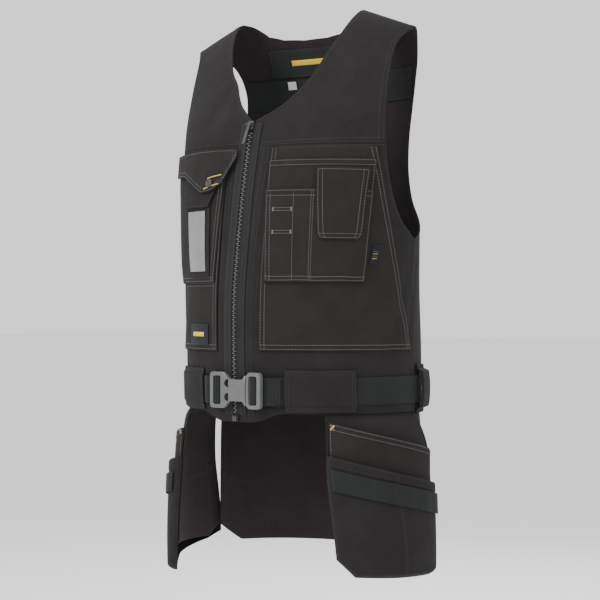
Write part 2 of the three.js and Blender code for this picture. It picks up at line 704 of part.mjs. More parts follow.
function frontYoke(name, side) {
  const half = SEAM_GAP / 2;
  const low = -CHEST_SEAM_DROP + half;
  const seamAngle = SHOULDER_SEAM_ANGLE - SEAM_ANGLE_GAP / 2;
  const hand = side === LEFT ? 'left' : 'right';
  const at = (x, z) => [x, shoulderAngle(x, z, false)];
  const neck = NECK_EDGE.map((row) => at(row[hand] * NECK_HALF_WIDTH, -row.down * FRONT_NECK_DROP));
  const armhole = YOKE_ARMHOLE.map((row) => at(row.across * SHOULDER_HALF_WIDTH, row.down * low));
  const zipTop = at(ZIP_HALF_GAP, -FRONT_NECK_DROP);
  const tip = [SHOULDER_TIP * SHOULDER_HALF_WIDTH, seamAngle];
  const neckTop = [NECK_HALF_WIDTH, seamAngle];
  const bottom = (u) => at(lerp(ZIP_HALF_GAP, armhole[0][0], u), low);
  const top = path([neckTop, tip]);
  const zipEdge = path([bottom(0), zipTop]);
  const inner = chain([zipEdge, bend([zipTop, ...neck, neckTop])], [0.2, 0.8]);
  const flat = patch(bottom, top, inner, bend([...armhole, tip]));
  const outline = (u, v) => [side * flat(u, v)[0], flat(u, v)[1]];
  cloth(name, 'canvas', onShoulder, outline, level(0), SHELL, 10, 10);
}

// Back
function backNeck(x) {
  const share = Math.min(1, Math.abs(x) / NECK_HALF_WIDTH);
  return -BACK_NECK_DROP * Math.sqrt(1 - share ** 2.4);
}

function backYoke(name) {
  const half = SEAM_GAP / 2;
  const low = -BACK_SEAM_DROP + half;
  const front = SHOULDER_SEAM_ANGLE + SEAM_ANGLE_GAP / 2;
  const at = (x, z) => [x, shoulderAngle(x, z, true)];
  const armhole = BACK_YOKE_ARMHOLE.map((row) => at(row.across * SHOULDER_HALF_WIDTH, row.down * low));
  const tipX = SHOULDER_TIP * SHOULDER_HALF_WIDTH;
  const seam = [0, 0.25, 0.5, 0.75, 1].map((t) => [lerp(tipX, NECK_HALF_WIDTH, t), front]);
  const neckSide = [[NECK_HALF_WIDTH, TOP_ANGLE]];
  const curve = BACK_NECK_STOPS.map((share) => {
    const x = share * NECK_HALF_WIDTH;
    return at(x, backNeck(x));
  });
  const leftTop = [...seam, ...neckSide, ...curve];
  const rightTop = leftTop.map(([x, angle]) => [-x, angle]).reverse();
  const topPoints = [...leftTop, at(0, backNeck(0)), ...rightTop];
  const columns = topPoints.length - 1;
  const narrowing = armhole[0][0] / tipX;
  const bottomPoints = topPoints.map(([x]) => at(x * narrowing, low));
  const edge = bend([...armhole, [tipX, TIP_ANGLE], [tipX, front]]);
  const outer = (v) => edge(v);
  const inner = (v) => [-edge(v)[0], edge(v)[1]];
  const outline = patch(path(bottomPoints), path(topPoints), outer, inner);
  cloth(name, 'canvas', onShoulder, outline, level(0), SHELL, columns, 8);
}

function backPanel(name) {
  const half = SEAM_GAP / 2;
  const seamTurn = SIDE_SEAM_TURN + half / CHEST_HALF_WIDTH / DEGREE;
  const high = -BACK_SEAM_DROP - half;
  const depth = ARMHOLE_DROP - BACK_SEAM_DROP;
  const span = BACK_TURN - seamTurn;
  const armhole = BACK_ARMHOLE.map(({ down, turn }) => [seamTurn + turn * span, high - down * depth]);
  const low = [seamTurn, -BODY_LENGTH];
  const edge = chain([path([low, armhole[0]]), bend(armhole)], [0.5, 0.5]);
  const far = (v) => [FULL_TURN - edge(v)[0], edge(v)[1]];
  const outline = patch(path([low, far(0)]), path([edge(1), far(1)]), edge, far);
  cloth(name, 'canvas', onBody, outline, level(0), SHELL, 20, 12);
}

function backTrim() {
  const at = (x, z) => [x, shoulderAngle(x, z, true)];
  const inside = ({ layer }) => level(-layer * (TRIM + LAYER_GAP));
  const across = ({ wide }, u, v) => lerp(-1, 1, u) * lerp(wide[1], wide[0], v) * SHOULDER_HALF_WIDTH;
  const down = ({ top, bottom }, v) => -lerp(bottom, top, v) * BACK_SEAM_DROP;
  const trim = (row) => (u, v) => at(across(row, u, v), down(row, v));
  cloth('neck_patch', 'lining', onShoulder, trim(NECK_PATCH), inside(NECK_PATCH), TRIM, 10, 3);
  cloth('back_band', 'webbing', onShoulder, trim(BACK_BAND), inside(BACK_BAND), TRIM, 12, 2);
  const { from, to } = SIZE_LABEL;
  const label = (u, v) => at(lerp(from, to, u) * SHOULDER_HALF_WIDTH, down(SIZE_LABEL, v));
  cloth('size_label', 'clear', onShoulder, label, inside(SIZE_LABEL), TRIM, 1, 1);
}

// Zip
function zip() {
  const top = -FRONT_NECK_DROP - ZIP_TOP_GAP;
  const low = hemDrop(0) + END_BOX_HEIGHT + ZIP_BOTTOM_GAP;
  const chainTop = top - SLIDER_HEIGHT - SEAM_GAP;
  const strip = (from, to, high) => (u, v) => [lerp(from, to, u), lerp(low, high, v)];
  for (const side of [LEFT, RIGHT]) {
    const name = side === LEFT ? 'zip_tape_left' : 'zip_tape_right';
    const outline = strip(side * ZIP_HALF_GAP, side * (ZIP_HALF_GAP + TAPE_WIDTH), top - TAPE_TOP_GAP);
    cloth(name, 'webbing', onCloth, outline, level(SHELL + LAYER_GAP), TRIM, 1, 12);
  }
  const middle = strip(-CHAIN_HALF_WIDTH, CHAIN_HALF_WIDTH, chainTop);
  cloth('zip_chain', 'metal', onCloth, middle, level(TRIM), CHAIN_DEPTH, 1, 12);
  const box = (u, v) => {
    const wide = CHAIN_HALF_WIDTH + 1;
    return [lerp(-wide, wide, u), lerp(low - SEAM_GAP - END_BOX_HEIGHT, low - SEAM_GAP, v)];
  };
  cloth('zip_box', 'metal', onCloth, box, level(SHELL + TRIM + 2 * LAYER_GAP), CHAIN_DEPTH, 1, 1);
  slider(top);
}

function block(width, depth, height, x, y, z) {
  return new THREE.BoxGeometry(width, depth, height).translate(x, y, z);
}

// The slider's place: the middle of its pin, and its slope along the front.
function sliderFrame(top) {
  const at = onCloth(0, top - SLIDER_HEIGHT / 2);
  const normal = outward(onCloth, 0, top - SLIDER_HEIGHT / 2);
  const lean = Math.atan2(-normal.z, -normal.y);
  return new THREE.Matrix4().makeRotationX(lean).setPosition(0, at.y, at.z);
}

function slider(top) {
  const frame = sliderFrame(top);
  const base = SHELL + TRIM + 2 * LAYER_GAP;
  const pinY = -(base + SLIDER_DEPTH + EAR_HEIGHT / 2);
  const earX = PULL_WIDTH / 2 + SEAM_GAP + EAR_THICKNESS / 2;
  const overlap = 0.5;
  const plate = block(SLIDER_WIDTH, SLIDER_DEPTH, SLIDER_HEIGHT, 0, -(base + SLIDER_DEPTH / 2), 0);
  const earDepth = EAR_HEIGHT + overlap;
  const earY = -(base + SLIDER_DEPTH - overlap + earDepth / 2);
  const ears = [LEFT, RIGHT].map((s) => block(EAR_THICKNESS, earDepth, EAR_HEIGHT, s * earX, earY, 0));
  const pin = new THREE.CylinderGeometry(PIN_RADIUS, PIN_RADIUS, 2 * earX, 10);
  pin.rotateZ(Math.PI / 2).translate(0, pinY, 0);
  const solid = join([plate, ...ears, pin]);
  solid.applyMatrix4(frame);
  add('zip_slider', 'metal', solid);
  add('zip_pull', 'metal', pullTab(frame, pinY));
}

// A flat tab that hangs from the slider's pin by its eye.
function pullTab(frame, pinY) {
  const eye = PIN_RADIUS + SEAM_GAP;
  const round = eye + TRIM;
  const half = PULL_THICKNESS / 2;
  const neck = Math.asin(half / round);
  const outline = new THREE.Shape();
  outline.absarc(0, 0, round, neck - Math.PI / 2, 1.5 * Math.PI - neck, false);
  outline.lineTo(-half, -PULL_LENGTH);
  outline.lineTo(half, -PULL_LENGTH);
  outline.closePath();
  outline.holes.push(new THREE.Path().absarc(0, 0, eye, 0, 2 * Math.PI, true));
  const options = { depth: PULL_WIDTH, bevelEnabled: false, curveSegments: 6 };
  const solid = new THREE.ExtrudeGeometry(outline, options).translate(0, 0, -PULL_WIDTH / 2);
  const [x, y, z] = [0, 1, 2].map((k) => new THREE.Vector3().setComponent(k, 1));
  solid.applyMatrix4(new THREE.Matrix4().makeBasis(y, z, x));
  solid.rotateX(PULL_REST_TILT * DEGREE).translate(0, pinY, 0);
  return solid.applyMatrix4(frame);
}

// Belt
const beltMiddle = BELT_ABOVE_HEM - BODY_LENGTH;
const buckleSeat = onCloth(BELT_SHIFT, beltMiddle);
const buckleOut = outward(onCloth, BELT_SHIFT, beltMiddle).setZ(0).normalize();

// Lift of the webbing: flat under the buckle, and close to the body away from it.
function webbingLift(length, z) {
  const low = SHELL + LAYER_GAP;
  const away = Math.abs(length - BELT_SHIFT);
  const seat = BUCKLE_LIFT - LAYER_GAP - WEBBING;
  const place = onCloth(length, z);
  const normal = outward(onCloth, length, z);
  const flat = (seat - place.sub(buckleSeat).dot(buckleOut)) / normal.dot(buckleOut);
  const clear = BUCKLE_HALF_LENGTH * WEBBING_CLEAR;
  const fall = smoothstep((away - clear) / (TUNNEL_START - clear));
  return lerp(flat, low, fall);
}

// Distances from the middle of the buckle at which the webbing has its cross-sections.
function webbingStops() {
  const end = arcTo(LOOP_TURN + LOOP_SPAN * WEBBING_END, beltMiddle);
  const clear = WEBBING_CLEAR * BUCKLE_HALF_LENGTH;
  const seat = [WEBBING_HOLD, WEBBING_SEAT].map((share) => share * BUCKLE_HALF_LENGTH);
  const slope = [0, 0.25, 0.5, 0.75, 1].map((share) => lerp(clear, TUNNEL_START, share));
  const rest = WEBBING_REST.map((share) => lerp(TUNNEL_START, end, share));
  return [...seat, ...slope, ...rest];
}

function belt() {
  const half = WEBBING_WIDTH / 2;
  const stops = webbingStops();
  const tailStops = stops.slice(2, 6);
  for (const side of [LEFT, RIGHT]) {
    const hand = side === LEFT ? 'left' : 'right';
    const lengths = path(stops.map((stop) => [BELT_SHIFT + side * stop, 0]));
    const outline = (u, v) => [lengths(u)[0], beltMiddle + lerp(-half, half, v)];
    const lift = (u, v) => webbingLift(...outline(u, v));
    const count = stops.length - 1;
    cloth(`belt_webbing_${hand}`, 'webbing', onCloth, outline, lift, WEBBING, count, 1);
    const tunnelStart = BELT_SHIFT + side * TUNNEL_START;
    tunnel(`belt_tunnel_${hand}`, tunnelStart, tunnelStart + side * TUNNEL_LENGTH);
    sideLoop(`side_loop_${hand}`, side);
  }
  const tailLengths = path(tailStops.map((stop) => [BELT_SHIFT + stop, 0]));
  const tail = (u, v) => [tailLengths(u)[0], beltMiddle + lerp(-half, half, v)];
  const tailLift = (u, v) => webbingLift(...tail(u, v)) + WEBBING + LAYER_GAP;
  cloth('belt_tail_left', 'webbing', onCloth, tail, tailLift, WEBBING, 3, 1);
  buckle();
}

// A flat cloth tunnel over the webbing, sewn down above and below it.
function tunnel(name, from, to) {
  const edge = TUNNEL_HEIGHT / 2;
  const inner = WEBBING_WIDTH / 2 + LAYER_GAP;
  const sewnLift = SHELL + LAYER_GAP;
  const openLift = sewnLift + WEBBING + LAYER_GAP;
  const profile = path([[-edge, sewnLift], [-inner, openLift], [inner, openLift], [edge, sewnLift]]);
  const outline = (u, v) => [lerp(from, to, u), beltMiddle + profile(v)[0]];
  cloth(name, 'canvas', onCloth, outline, (u, v) => profile(v)[1], POCKET_CLOTH, 8, 3);
}

// A thick loop that stands proud of the side seam and holds the end of the webbing.
function sideLoop(name, side) {
  const edge = LOOP_HEIGHT / 2;
  const foot = edge + 2 * LOOP_CLOTH;
  const low = SHELL + LAYER_GAP;
  const crown = LOOP_LIFT + LOOP_CLOTH / 2;
  const profile = path([[-foot, low], [-edge, low], [-edge + LOOP_CLOTH, LOOP_LIFT], [0, crown],
    [edge - LOOP_CLOTH, LOOP_LIFT], [edge, low], [foot, low]]);
  const turn = (u) => side * lerp(LOOP_TURN, LOOP_TURN + LOOP_SPAN, u);
  const outline = (u, v) => [turn(u), beltMiddle + profile(v)[0]];
  cloth(name, 'canvas', onBody, outline, (u, v) => profile(v)[1], LOOP_CLOTH, 3, 6);
}

function roundedBox(left, right, half, radius) {
  const shape = new THREE.Shape();
  shape.absarc(right - radius, -half + radius, radius, -Math.PI / 2, 0, false);
  shape.absarc(right - radius, half - radius, radius, 0, Math.PI / 2, false);
  shape.absarc(left + radius, half - radius, radius, Math.PI / 2, Math.PI, false);
  shape.absarc(left + radius, -half + radius, radius, Math.PI, 1.5 * Math.PI, false);
  shape.closePath();
  return shape;
}

// The buckle lies flat on the belt: the half with two windows, and the half that clips into it.
function buckle() {
  const up = new THREE.Vector3(0, 0, 1);
  const right = up.clone().cross(buckleOut);
  const frame = new THREE.Matrix4().makeBasis(right, up, buckleOut).setPosition(buckleSeat);
  const end = BUCKLE_HALF_LENGTH;
  const tall = BUCKLE_HALF_HEIGHT;
  const joint = BUCKLE_JOINT * end;
  const waist = BUCKLE_WAIST * tall;
  const cheek = joint - BUCKLE_CHEEK * end;
  const lip = tall - BUCKLE_LIP * tall;
  const shoulder = -end + 2 * BUCKLE_BAR + BUCKLE_SLOT;
  const corner = BUCKLE_CORNER;
  const slotHalf = tall - BUCKLE_BAR;
  const female = new THREE.Shape();
  female.moveTo(-end + corner, -tall);
  female.lineTo(shoulder, -tall);
  female.quadraticCurveTo(0, -waist, cheek, -waist);
  female.lineTo(joint, -lip);
  female.lineTo(joint, lip);
  female.lineTo(cheek, waist);
  female.quadraticCurveTo(0, waist, shoulder, tall);
  female.lineTo(-end + corner, tall);
  female.quadraticCurveTo(-end, tall, -end, tall - corner);
  female.lineTo(-end, -tall + corner);
  female.quadraticCurveTo(-end, -tall, -end + corner, -tall);
  const slotStart = -end + BUCKLE_BAR;
  female.holes.push(roundedBox(slotStart, slotStart + BUCKLE_SLOT, slotHalf, BUCKLE_BAR / 3));
  for (const side of [LEFT, RIGHT]) {
    const window = new THREE.Path();
    const place = new THREE.Vector2(WINDOW_ALONG * end, side * WINDOW_UP * tall);
    window.absarc(place.x, place.y, WINDOW_RADIUS, 0, 2 * Math.PI, true);
    female.holes.push(window);
  }
  const male = roundedBox(joint + SEAM_GAP, end, tall, corner);
  const slotEnd = end - BUCKLE_BAR;
  male.holes.push(roundedBox(slotEnd - BUCKLE_SLOT, slotEnd, slotHalf, BUCKLE_BAR / 3));
  const pieces = { buckle_female: female, buckle_male: male };
  const options = { depth: BUCKLE_DEPTH, bevelEnabled: false, curveSegments: 4 };
  for (const [name, outline] of Object.entries(pieces)) {
    const solid = new THREE.ExtrudeGeometry(outline, options).translate(0, 0, BUCKLE_LIFT);
    add(name, 'plastic', solid.applyMatrix4(frame));
  }
}

// Holsters
// Heights of a hanging piece: its last row is tucked up behind the hem, and the rest lies below.
function hangingHeight(low, v, rows) {
  const below = -BODY_LENGTH - 1;
  const turnUp = 1 - 1 / rows;
  return v > turnUp + 1e-6 ? -BODY_LENGTH + HEM_TUCK : lerp(low, below, v / turnUp);
}

function skirtHeight(down) {
  return -BODY_LENGTH - down * SKIRT_LENGTH;
}

function holsterSurface(side) {
  return (percent, z) => {
    const share = percent / 100;
    const down = (-z - BODY_LENGTH) / SKIRT_LENGTH;
    const read = (name) => column(HOLSTER_HANG, 'down', name, down);
    const turn = lerp(read('front'), read('rear'), share);
    const lift = lerp(read('frontLift'), read('rearLift'), smoothstep(share)) * SHELL;
    return raised(onBody, side * turn, z, lift);
  };
}

// How far a pouch stands out across its width, from nothing at its sewn sides to 1.
function gusset(percent) {
  return Math.sqrt(Math.max(0, 1 - Math.abs(percent / 50 - 1) ** 6));
}

function pouch(name, look, surface, { mouth, bottom, inset, full }) {
  const across = path(POUCH_COLUMNS.map((at) => [at, at]));
  const wide = (u) => lerp(inset, 100 - inset, across(u)[0] / 100);
  const rows = 6;
  const outline = (u, v) => {
    const percent = wide(u);
    const high = skirtHeight(lerp(mouth.front, mouth.rear, percent / 100));
    const fold = skirtHeight(bottom(percent) + POUCH_FOLD);
    const edge = skirtHeight(bottom(percent));
    const turnOver = 1 - 1 / rows;
    return [percent, v > turnOver + 1e-6 ? edge : lerp(high, fold, v / turnOver)];
  };
  const lift = (u, v) => {
    const sides = gusset(across(u)[0]);
    const closed = v > 1 - 1e-6 ? 0 : 1;
    return SHELL + LAYER_GAP + full * sides * closed;
  };
  cloth(name, look, surface, outline, lift, POCKET_CLOTH, POUCH_COLUMNS.length - 1, rows);
}

function holster(side) {
  const hand = side === LEFT ? 'left' : 'right';
  const surface = holsterSurface(side);
  const rows = 8;
  const along = path(BACKING_BOTTOM);
  const backing = (u, v) => [along(u)[0], hangingHeight(skirtHeight(along(u)[1]), v, rows)];
  cloth(`holster_back_${hand}`, 'lining', surface, backing, level(0), SHELL, 12, rows);
  const lowTable = POUCH_BOTTOM.map(([across, down]) => ({ across, down }));
  const lowEdge = (at) => column(lowTable, 'across', 'down', at);
  pouch(`holster_pocket_${hand}`, 'patch', surface, {
    mouth: HOLSTER_MOUTH, bottom: () => HOLSTER_BOTTOM_DOWN, inset: HOLSTER_INSET,
    full: HOLSTER_FULLNESS,
  });
  const outerFull = HOLSTER_FULLNESS + POCKET_CLOTH + LAYER_GAP + POUCH_FULLNESS;
  pouch(`holster_pouch_${hand}`, 'canvas', surface, {
    mouth: POUCH_MOUTH, bottom: lowEdge, inset: 0, full: outerFull,
  });
  const stripColumns = POUCH_COLUMNS.slice(1, -1);
  const stripAcross = path(stripColumns.map((at) => [at, at]));
  const strip = (u, v) => {
    const percent = stripAcross(u)[0];
    const high = skirtHeight(lerp(STRIP_TOP.front, STRIP_TOP.rear, percent / 100));
    return [percent, high - STRIP_WIDTH * (1 - v)];
  };
  const stripLift = (u, v) => {
    const low = SHELL + POCKET_CLOTH + 2 * LAYER_GAP;
    return low + outerFull * gusset(strip(u, v)[0]);
  };
  const count = stripColumns.length - 1;
  cloth(`holster_strip_${hand}`, 'webbing', surface, strip, stripLift, WEBBING, count, 2);
}

// Rear panel
function rearSurface(turn, z) {
  const down = (-z - BODY_LENGTH) / SKIRT_LENGTH;
  return raised(onBody, turn, z, column(REAR_LIFTS, 'down', 'lift', down) * SHELL);
}

function rearPanel() {
  const far = FULL_TURN;
  const middle = 14;
  const turns = [REAR_TURN];
  for (let i = 0; i <= middle; i += 1) {
    turns.push(lerp(REAR_CHAMFER_TURN, far - REAR_CHAMFER_TURN, i / middle));
  }
  turns.push(far - REAR_TURN);
  const ends = (turn) => turn < REAR_CHAMFER_TURN - 1 || turn > far - REAR_CHAMFER_TURN + 1;
  const low = path(turns.map((turn) => [turn, ends(turn) ? REAR_CORNER_DOWN : REAR_BOTTOM_DOWN]));
  const rows = 7;
  const panel = (u, v) => [low(u)[0], hangingHeight(skirtHeight(low(u)[1]), v, rows)];
  cloth('rear_panel', 'lining', rearSurface, panel, level(0), SHELL, turns.length - 1, rows);
  const high = skirtHeight(REAR_SEAM_DOWN);
  const floor = skirtHeight(REAR_BOTTOM_DOWN) + SHELL;
  const pocket = (u, v) => {
    const turn = lerp(REAR_POCKET_TURN, far - REAR_POCKET_TURN, u);
    return [turn, lerp(floor, high, v)];
  };
  const full = (u, v) => REAR_FULLNESS * gusset(100 * u) * Math.min(1, REAR_POCKET_RISE * v);
  const lift = (u, v) => SHELL + LAYER_GAP + full(u, v);
  cloth('rear_pocket', 'canvas', rearSurface, pocket, lift, POCKET_CLOTH, 16, 5);
}

for (const side of [LEFT, RIGHT]) {
  const hand = side === LEFT ? 'left' : 'right';
  frontPanel(`front_panel_${hand}`, side);
  frontYoke(`front_yoke_${hand}`, side);
  holster(side);
}
backYoke('back_yoke');
backPanel('back_panel');
backTrim();
zip();
SEWN.forEach(sewn);
rightFlap();
belt();
rearPanel();

export default vest;
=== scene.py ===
import math

import bpy
import numpy as np
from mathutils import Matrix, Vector


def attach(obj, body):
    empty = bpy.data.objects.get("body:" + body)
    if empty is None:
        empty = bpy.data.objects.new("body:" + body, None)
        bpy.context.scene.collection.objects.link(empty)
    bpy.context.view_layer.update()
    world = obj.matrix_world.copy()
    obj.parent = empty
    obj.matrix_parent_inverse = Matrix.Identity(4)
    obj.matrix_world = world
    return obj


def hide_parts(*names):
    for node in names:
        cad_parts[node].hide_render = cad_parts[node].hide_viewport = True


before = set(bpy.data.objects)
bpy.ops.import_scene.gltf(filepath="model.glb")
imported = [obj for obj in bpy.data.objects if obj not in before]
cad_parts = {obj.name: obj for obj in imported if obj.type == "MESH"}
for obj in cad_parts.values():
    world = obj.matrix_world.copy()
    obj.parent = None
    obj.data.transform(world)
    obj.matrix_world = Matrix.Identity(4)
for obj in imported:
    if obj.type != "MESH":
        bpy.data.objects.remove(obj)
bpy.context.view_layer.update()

MM = 0.001
BODY = "vest"
HANDS = {1: "left", -1: "right"}
EDGES = "left right bottom top"
FULL_TURN = 2 * math.pi

# Camera, found by fitting the vest's outline to the photograph (millimetres and degrees)
CAMERA_AZIMUTH = 38.0
CAMERA_DISTANCE = 2465.0
CAMERA_HEIGHT = -407.0
CAMERA_SHIFT = 5.4
CAMERA_LENS = 102.0

# Sizes of the vest in millimetres, turns in degrees. Turn 0 is the front, 90 the wearer's left
BODY_LENGTH = 562.0
CHEST_HALF_WIDTH = 196.0
FRONT_DEPTH = 153.0
BACK_DEPTH = 146.0
NECK_HALF_WIDTH = 109.0
SHOULDER_HALF_WIDTH = 196.0
SHOULDER_DROP = 32.0
SHOULDER_SEAM_ANGLE = 80.0
SHOULDER_TIP = 0.992
FRONT_NECK_DROP = 157.0
BACK_NECK_DROP = 20.0
BACK_NECK_LEAN = 0.3
CHEST_SEAM_DROP = 194.0
BACK_SEAM_DROP = 130.0
ARMHOLE_DROP = 322.0
CLOSING_DROP = 220.0
SIDE_SEAM_TURN = 97.0
HEM_DIP = 13.0
HEM_DIP_START = 25.0
HEM_DIP_RUN = 50.0
SHELL = 2.0
POCKET_CLOTH = 1.6
TRIM = 1.0
LAYER_GAP = 0.7
SEAM_LAP = 0.4
SEAM_LAP_TURN = 0.15
ZIP_HALF_GAP = 4.0
BELT_MIDDLE = -531.0
WEBBING_WIDTH = 38.0
WEBBING = 1.8
BELT_SHIFT = 7.0
BUCKLE_HALF_LENGTH = 44.0
BUCKLE_HALF_HEIGHT = 25.0
BUCKLE_DEPTH = 9.0
BUCKLE_LIFT = 6.0
TUNNEL_HEIGHT = 58.0
TUNNEL_START = 70.0
TUNNEL_LENGTH = 96.0
LOOP_HEIGHT = 56.0
LOOP_TURN = 100.0
LOOP_SPAN = 13.0
LOOP_LIFT = 11.0
LOOP_CLOTH = 3.0
HEM_TUCK = 15.0
SKIRT_LENGTH = 205.0
HOLSTER_FULLNESS = 6.5
POUCH_FULLNESS = 5.5
STRIP_WIDTH = 29.0
REAR_SEAM_DOWN = 0.615
REAR_FULLNESS = 6.0
NECK_PATCH_LAYER = 1.4
POUCH_SEAM = 7.0
STRIP_LOOPS = 6
HOLSTER_POCKET_DOWN = 0.86
HOLSTER_POCKET_INSET = 2.5
WEBBING_START_SHARE = 0.75
WEBBING_FLAT_SHARE = 1.13
WEBBING_END_SHARE = 0.7
TAIL_SPAN = (50.0, 66.0)

# Zip: gaps at its ends, and sizes across, along and out from the cloth
ZIP_TOP_GAP = 2.0
ZIP_BOTTOM_GAP = 10.0
TAPE_TOP_GAP = 3.0
TAPE_WIDTH = 14.0
SLIDER_SPACE = 15.0
TOOTH_PITCH = 2.9
TOOTH_SIZE = (4.4, 1.9, 2.4)
TOOTH_REACH = 1.15
TOOTH_RISE = 3.4
CORD_HALF = 3.3
END_BOX_SIZE = (8.8, 9.0, 3.4)
END_BOX_DROP = 4.8
SLIDER_ROUNDS = 3

# Buckle: slots, waist and windows, measured from its outer end or its middle
SLOT_START = 5.5
SLOT_END = 18.5
SLOT_MARGIN = 5.5
SLOT_CORNER = 2.2
JOINT_SHARE = 0.44
FEMALE_CORNER = 5.0
MALE_CORNER = 6.0
WAIST_START = 22.0
WAIST_RUN = 14.0
WAIST_SHARE = 0.60
WINDOW_PLACE = (-15.0, 9.6)
WINDOW_RADII = (3.4, 6.0)
WINDOW_BULGE = 2.2
BUCKLE_CELL = 0.55
BUCKLE_ROUNDS = 6

# Cloth edges and stitches
EDGE_ROUNDING = 1.4
HEM_STEP = 1.6
MEASURE_POINTS = 25
EDGE_THIN = 0.35
LEAST_STEP = 0.35
HEM_RELIEF = 0.55
STITCH = 2.9
STITCH_GAP = 1.1
THREAD_RADIUS = 0.34
THREAD_SIDES = 4
THREADS = {"grey": [], "dark": [], "yellow": []}
YOKE_HEMS = [("left", 8, 0.4), ("right", 8, 0.4), ("bottom", 7, 0.35)]
PEN_LOOP_ROWS = (0.795, 0.550)
PEN_LOOP_ENDS = (0.090, 0.272)

# Cross-sections of the body: drop, width, front, back, power of the outline
SECTIONS = np.array([
    (-0.04, 1.020, 0.538, 0.582, 2.30),
    (0.089, 1.010, 0.577, 0.603, 2.30),
    (0.178, 1.000, 0.647, 0.603, 2.30),
    (0.279, 0.990, 0.750, 0.596, 2.30),
    (0.391, 0.975, 0.827, 0.637, 2.25),
    (0.477, 0.949, 0.885, 0.710, 2.15),
    (0.600, 0.923, 0.949, 0.840, 2.05),
    (0.712, 0.908, 0.994, 0.932, 2.00),
    (0.847, 0.903, 1.000, 1.000, 2.00),
    (0.947, 0.903, 0.987, 1.000, 2.00),
    (1.068, 0.903, 0.962, 0.990, 2.00),
    (1.450, 0.903, 0.949, 0.973, 2.00),
])

# Folds of the cloth: face in degrees and drop where each starts, the same where it ends,
# its half width and its depth in millimetres.
FOLDS = [
    (24, 0.20, 38, 0.32, 14, -2.6),
    (52, 0.14, 56, 0.31, 16, 2.8),
    (-30, 0.12, -42, 0.29, 16, -2.6),
    (148, 0.30, 168, 0.62, 22, -3.2),
    (205, 0.26, 190, 0.66, 24, -3.6),
    (118, 0.64, 134, 0.86, 20, -3.0),
    (236, 0.62, 222, 0.87, 20, -3.0),
    (20, 0.90, 52, 0.885, 7, 1.2),
    (58, 0.895, 86, 0.875, 8, 1.3),
    (90, 0.66, 78, 0.86, 9, -1.5),
    (99, 0.60, 92, 0.84, 8, -1.3),
    (84, 0.46, 90, 0.60, 9, 1.2),
    (10, 0.86, 12, 0.40, 6, 0.9),
    (-12, 0.44, -10, 0.86, 6, 0.9),
    (30, 0.60, 58, 0.82, 12, -1.1),
    (52, 0.72, 66, 0.60, 12, 0.9),
    (-40, 0.60, -60, 0.82, 12, -1.1),
    (15, 0.24, 44, 0.10, 9, -1.2),
    (44, 0.06, 62, 0.24, 9, -1.1),
    (-20, 0.24, -40, 0.06, 9, -1.2),
    (20, 1.12, 46, 1.18, 12, 1.3),
    (150, 1.08, 166, 1.30, 16, -2.4),
    (196, 1.06, 188, 1.33, 18, 2.2),
    (222, 1.10, 210, 1.30, 16, -2.4),
    (128, 0.50, 150, 0.58, 12, 1.4),
    (232, 0.50, 210, 0.58, 12, 1.4),
]

NECK_EDGE = {
    1: [(0.924, 0.27), (0.815, 0.48), (0.656, 0.67), (0.459, 0.79), (0.217, 0.93), (0.076, 0.99)],
    -1: [(0.924, 0.16), (0.815, 0.33), (0.656, 0.50), (0.459, 0.70), (0.217, 0.86), (0.076, 0.92)],
}
YOKE_ARMHOLE = [(1.000, 0.920), (0.835, 0.917), (0.690, 0.913), (0.520, 0.908), (0.345, 0.911),
                (0.258, 0.926), (0.205, 0.960)]
BACK_YOKE_ARMHOLE = [(1.000, 0.776), (0.746, 0.840), (0.546, 0.903), (0.354, 0.954), (0.275, 0.980)]
BACK_YOKE_ARMHOLE_RIGHT = [(1.000, 0.776), (0.775, 0.762), (0.600, 0.772), (0.500, 0.790), (0.420, 0.814),
                           (0.340, 0.862), (0.275, 0.930)]
FRONT_ARMHOLE = [(1.000, 1.000), (0.945, 0.940), (0.830, 0.870), (0.640, 0.808), (0.430, 0.761),
                 (0.200, 0.722), (0.000, 0.703)]
BACK_ARMHOLE = [(1.000, 0.000), (0.964, 0.110), (0.875, 0.253), (0.755, 0.398), (0.620, 0.467),
                (0.443, 0.499), (0.224, 0.478), (0.000, 0.413)]
BACK_NECK_STOPS = [0.975, 0.87, 0.65, 0.35]

# Pieces sewn on the front: side, layer, slack, fuller pieces below, inner, outer, top, bottom
SEWN = {
    "patch_pocket_left": (1, 0, 0, (), (0.150, 0.146), (0.700, 0.975), 0.350, 0.848),
    "patch_pocket_right": (-1, 0, 0, (), (0.130, 0.113), (0.700, 0.975), 0.350, 0.850),
    "tool_pocket_left": (1, 1, 1.6, (), (0.150, 0.175), (0.702, 0.665), 0.383, 0.684),
    "pen_pocket_left": (1, 2, 1.2, ("tool_pocket_left",), (0.153, 0.177), (0.695, 0.663), 0.457, 0.681),
    "phone_flap_left": (1, 3, 1.0, ("tool_pocket_left", "pen_pocket_left"),
                        (0.415, 0.432), (0.668, 0.640), 0.405, 0.579),
    "pocket_tag_left": (1, 1, 0, (), (0.706, 0.686), (0.752, 0.728), 0.590, 0.638),
    "chest_pocket_right": (-1, 1, 5, (), (0.125, 0.140), (0.655, 0.645), 0.365, 0.682),
    "badge_holder_right": (-1, 2, 0, ("chest_pocket_right",), (0.195, 0.165), (0.395, 0.345), 0.486, 0.668),
    "badge_window_right": (-1, 3, 0, ("chest_pocket_right",), (0.222, 0.190), (0.372, 0.325), 0.504, 0.655),
    "badge_cover_right": (-1, 3, 0, ("chest_pocket_right",), (0.155, 0.200), (0.415, 0.410), 0.442, 0.496),
    "label_right": (-1, 1, 0, (), (0.178, 0.178), (0.362, 0.362), 0.784, 0.837),
    "webbing_tab_right": (-1, 1, 0, (), (0.662, 0.662), (0.710, 0.710), 0.627, 0.670),
}
FLAP_TOP = 0.352
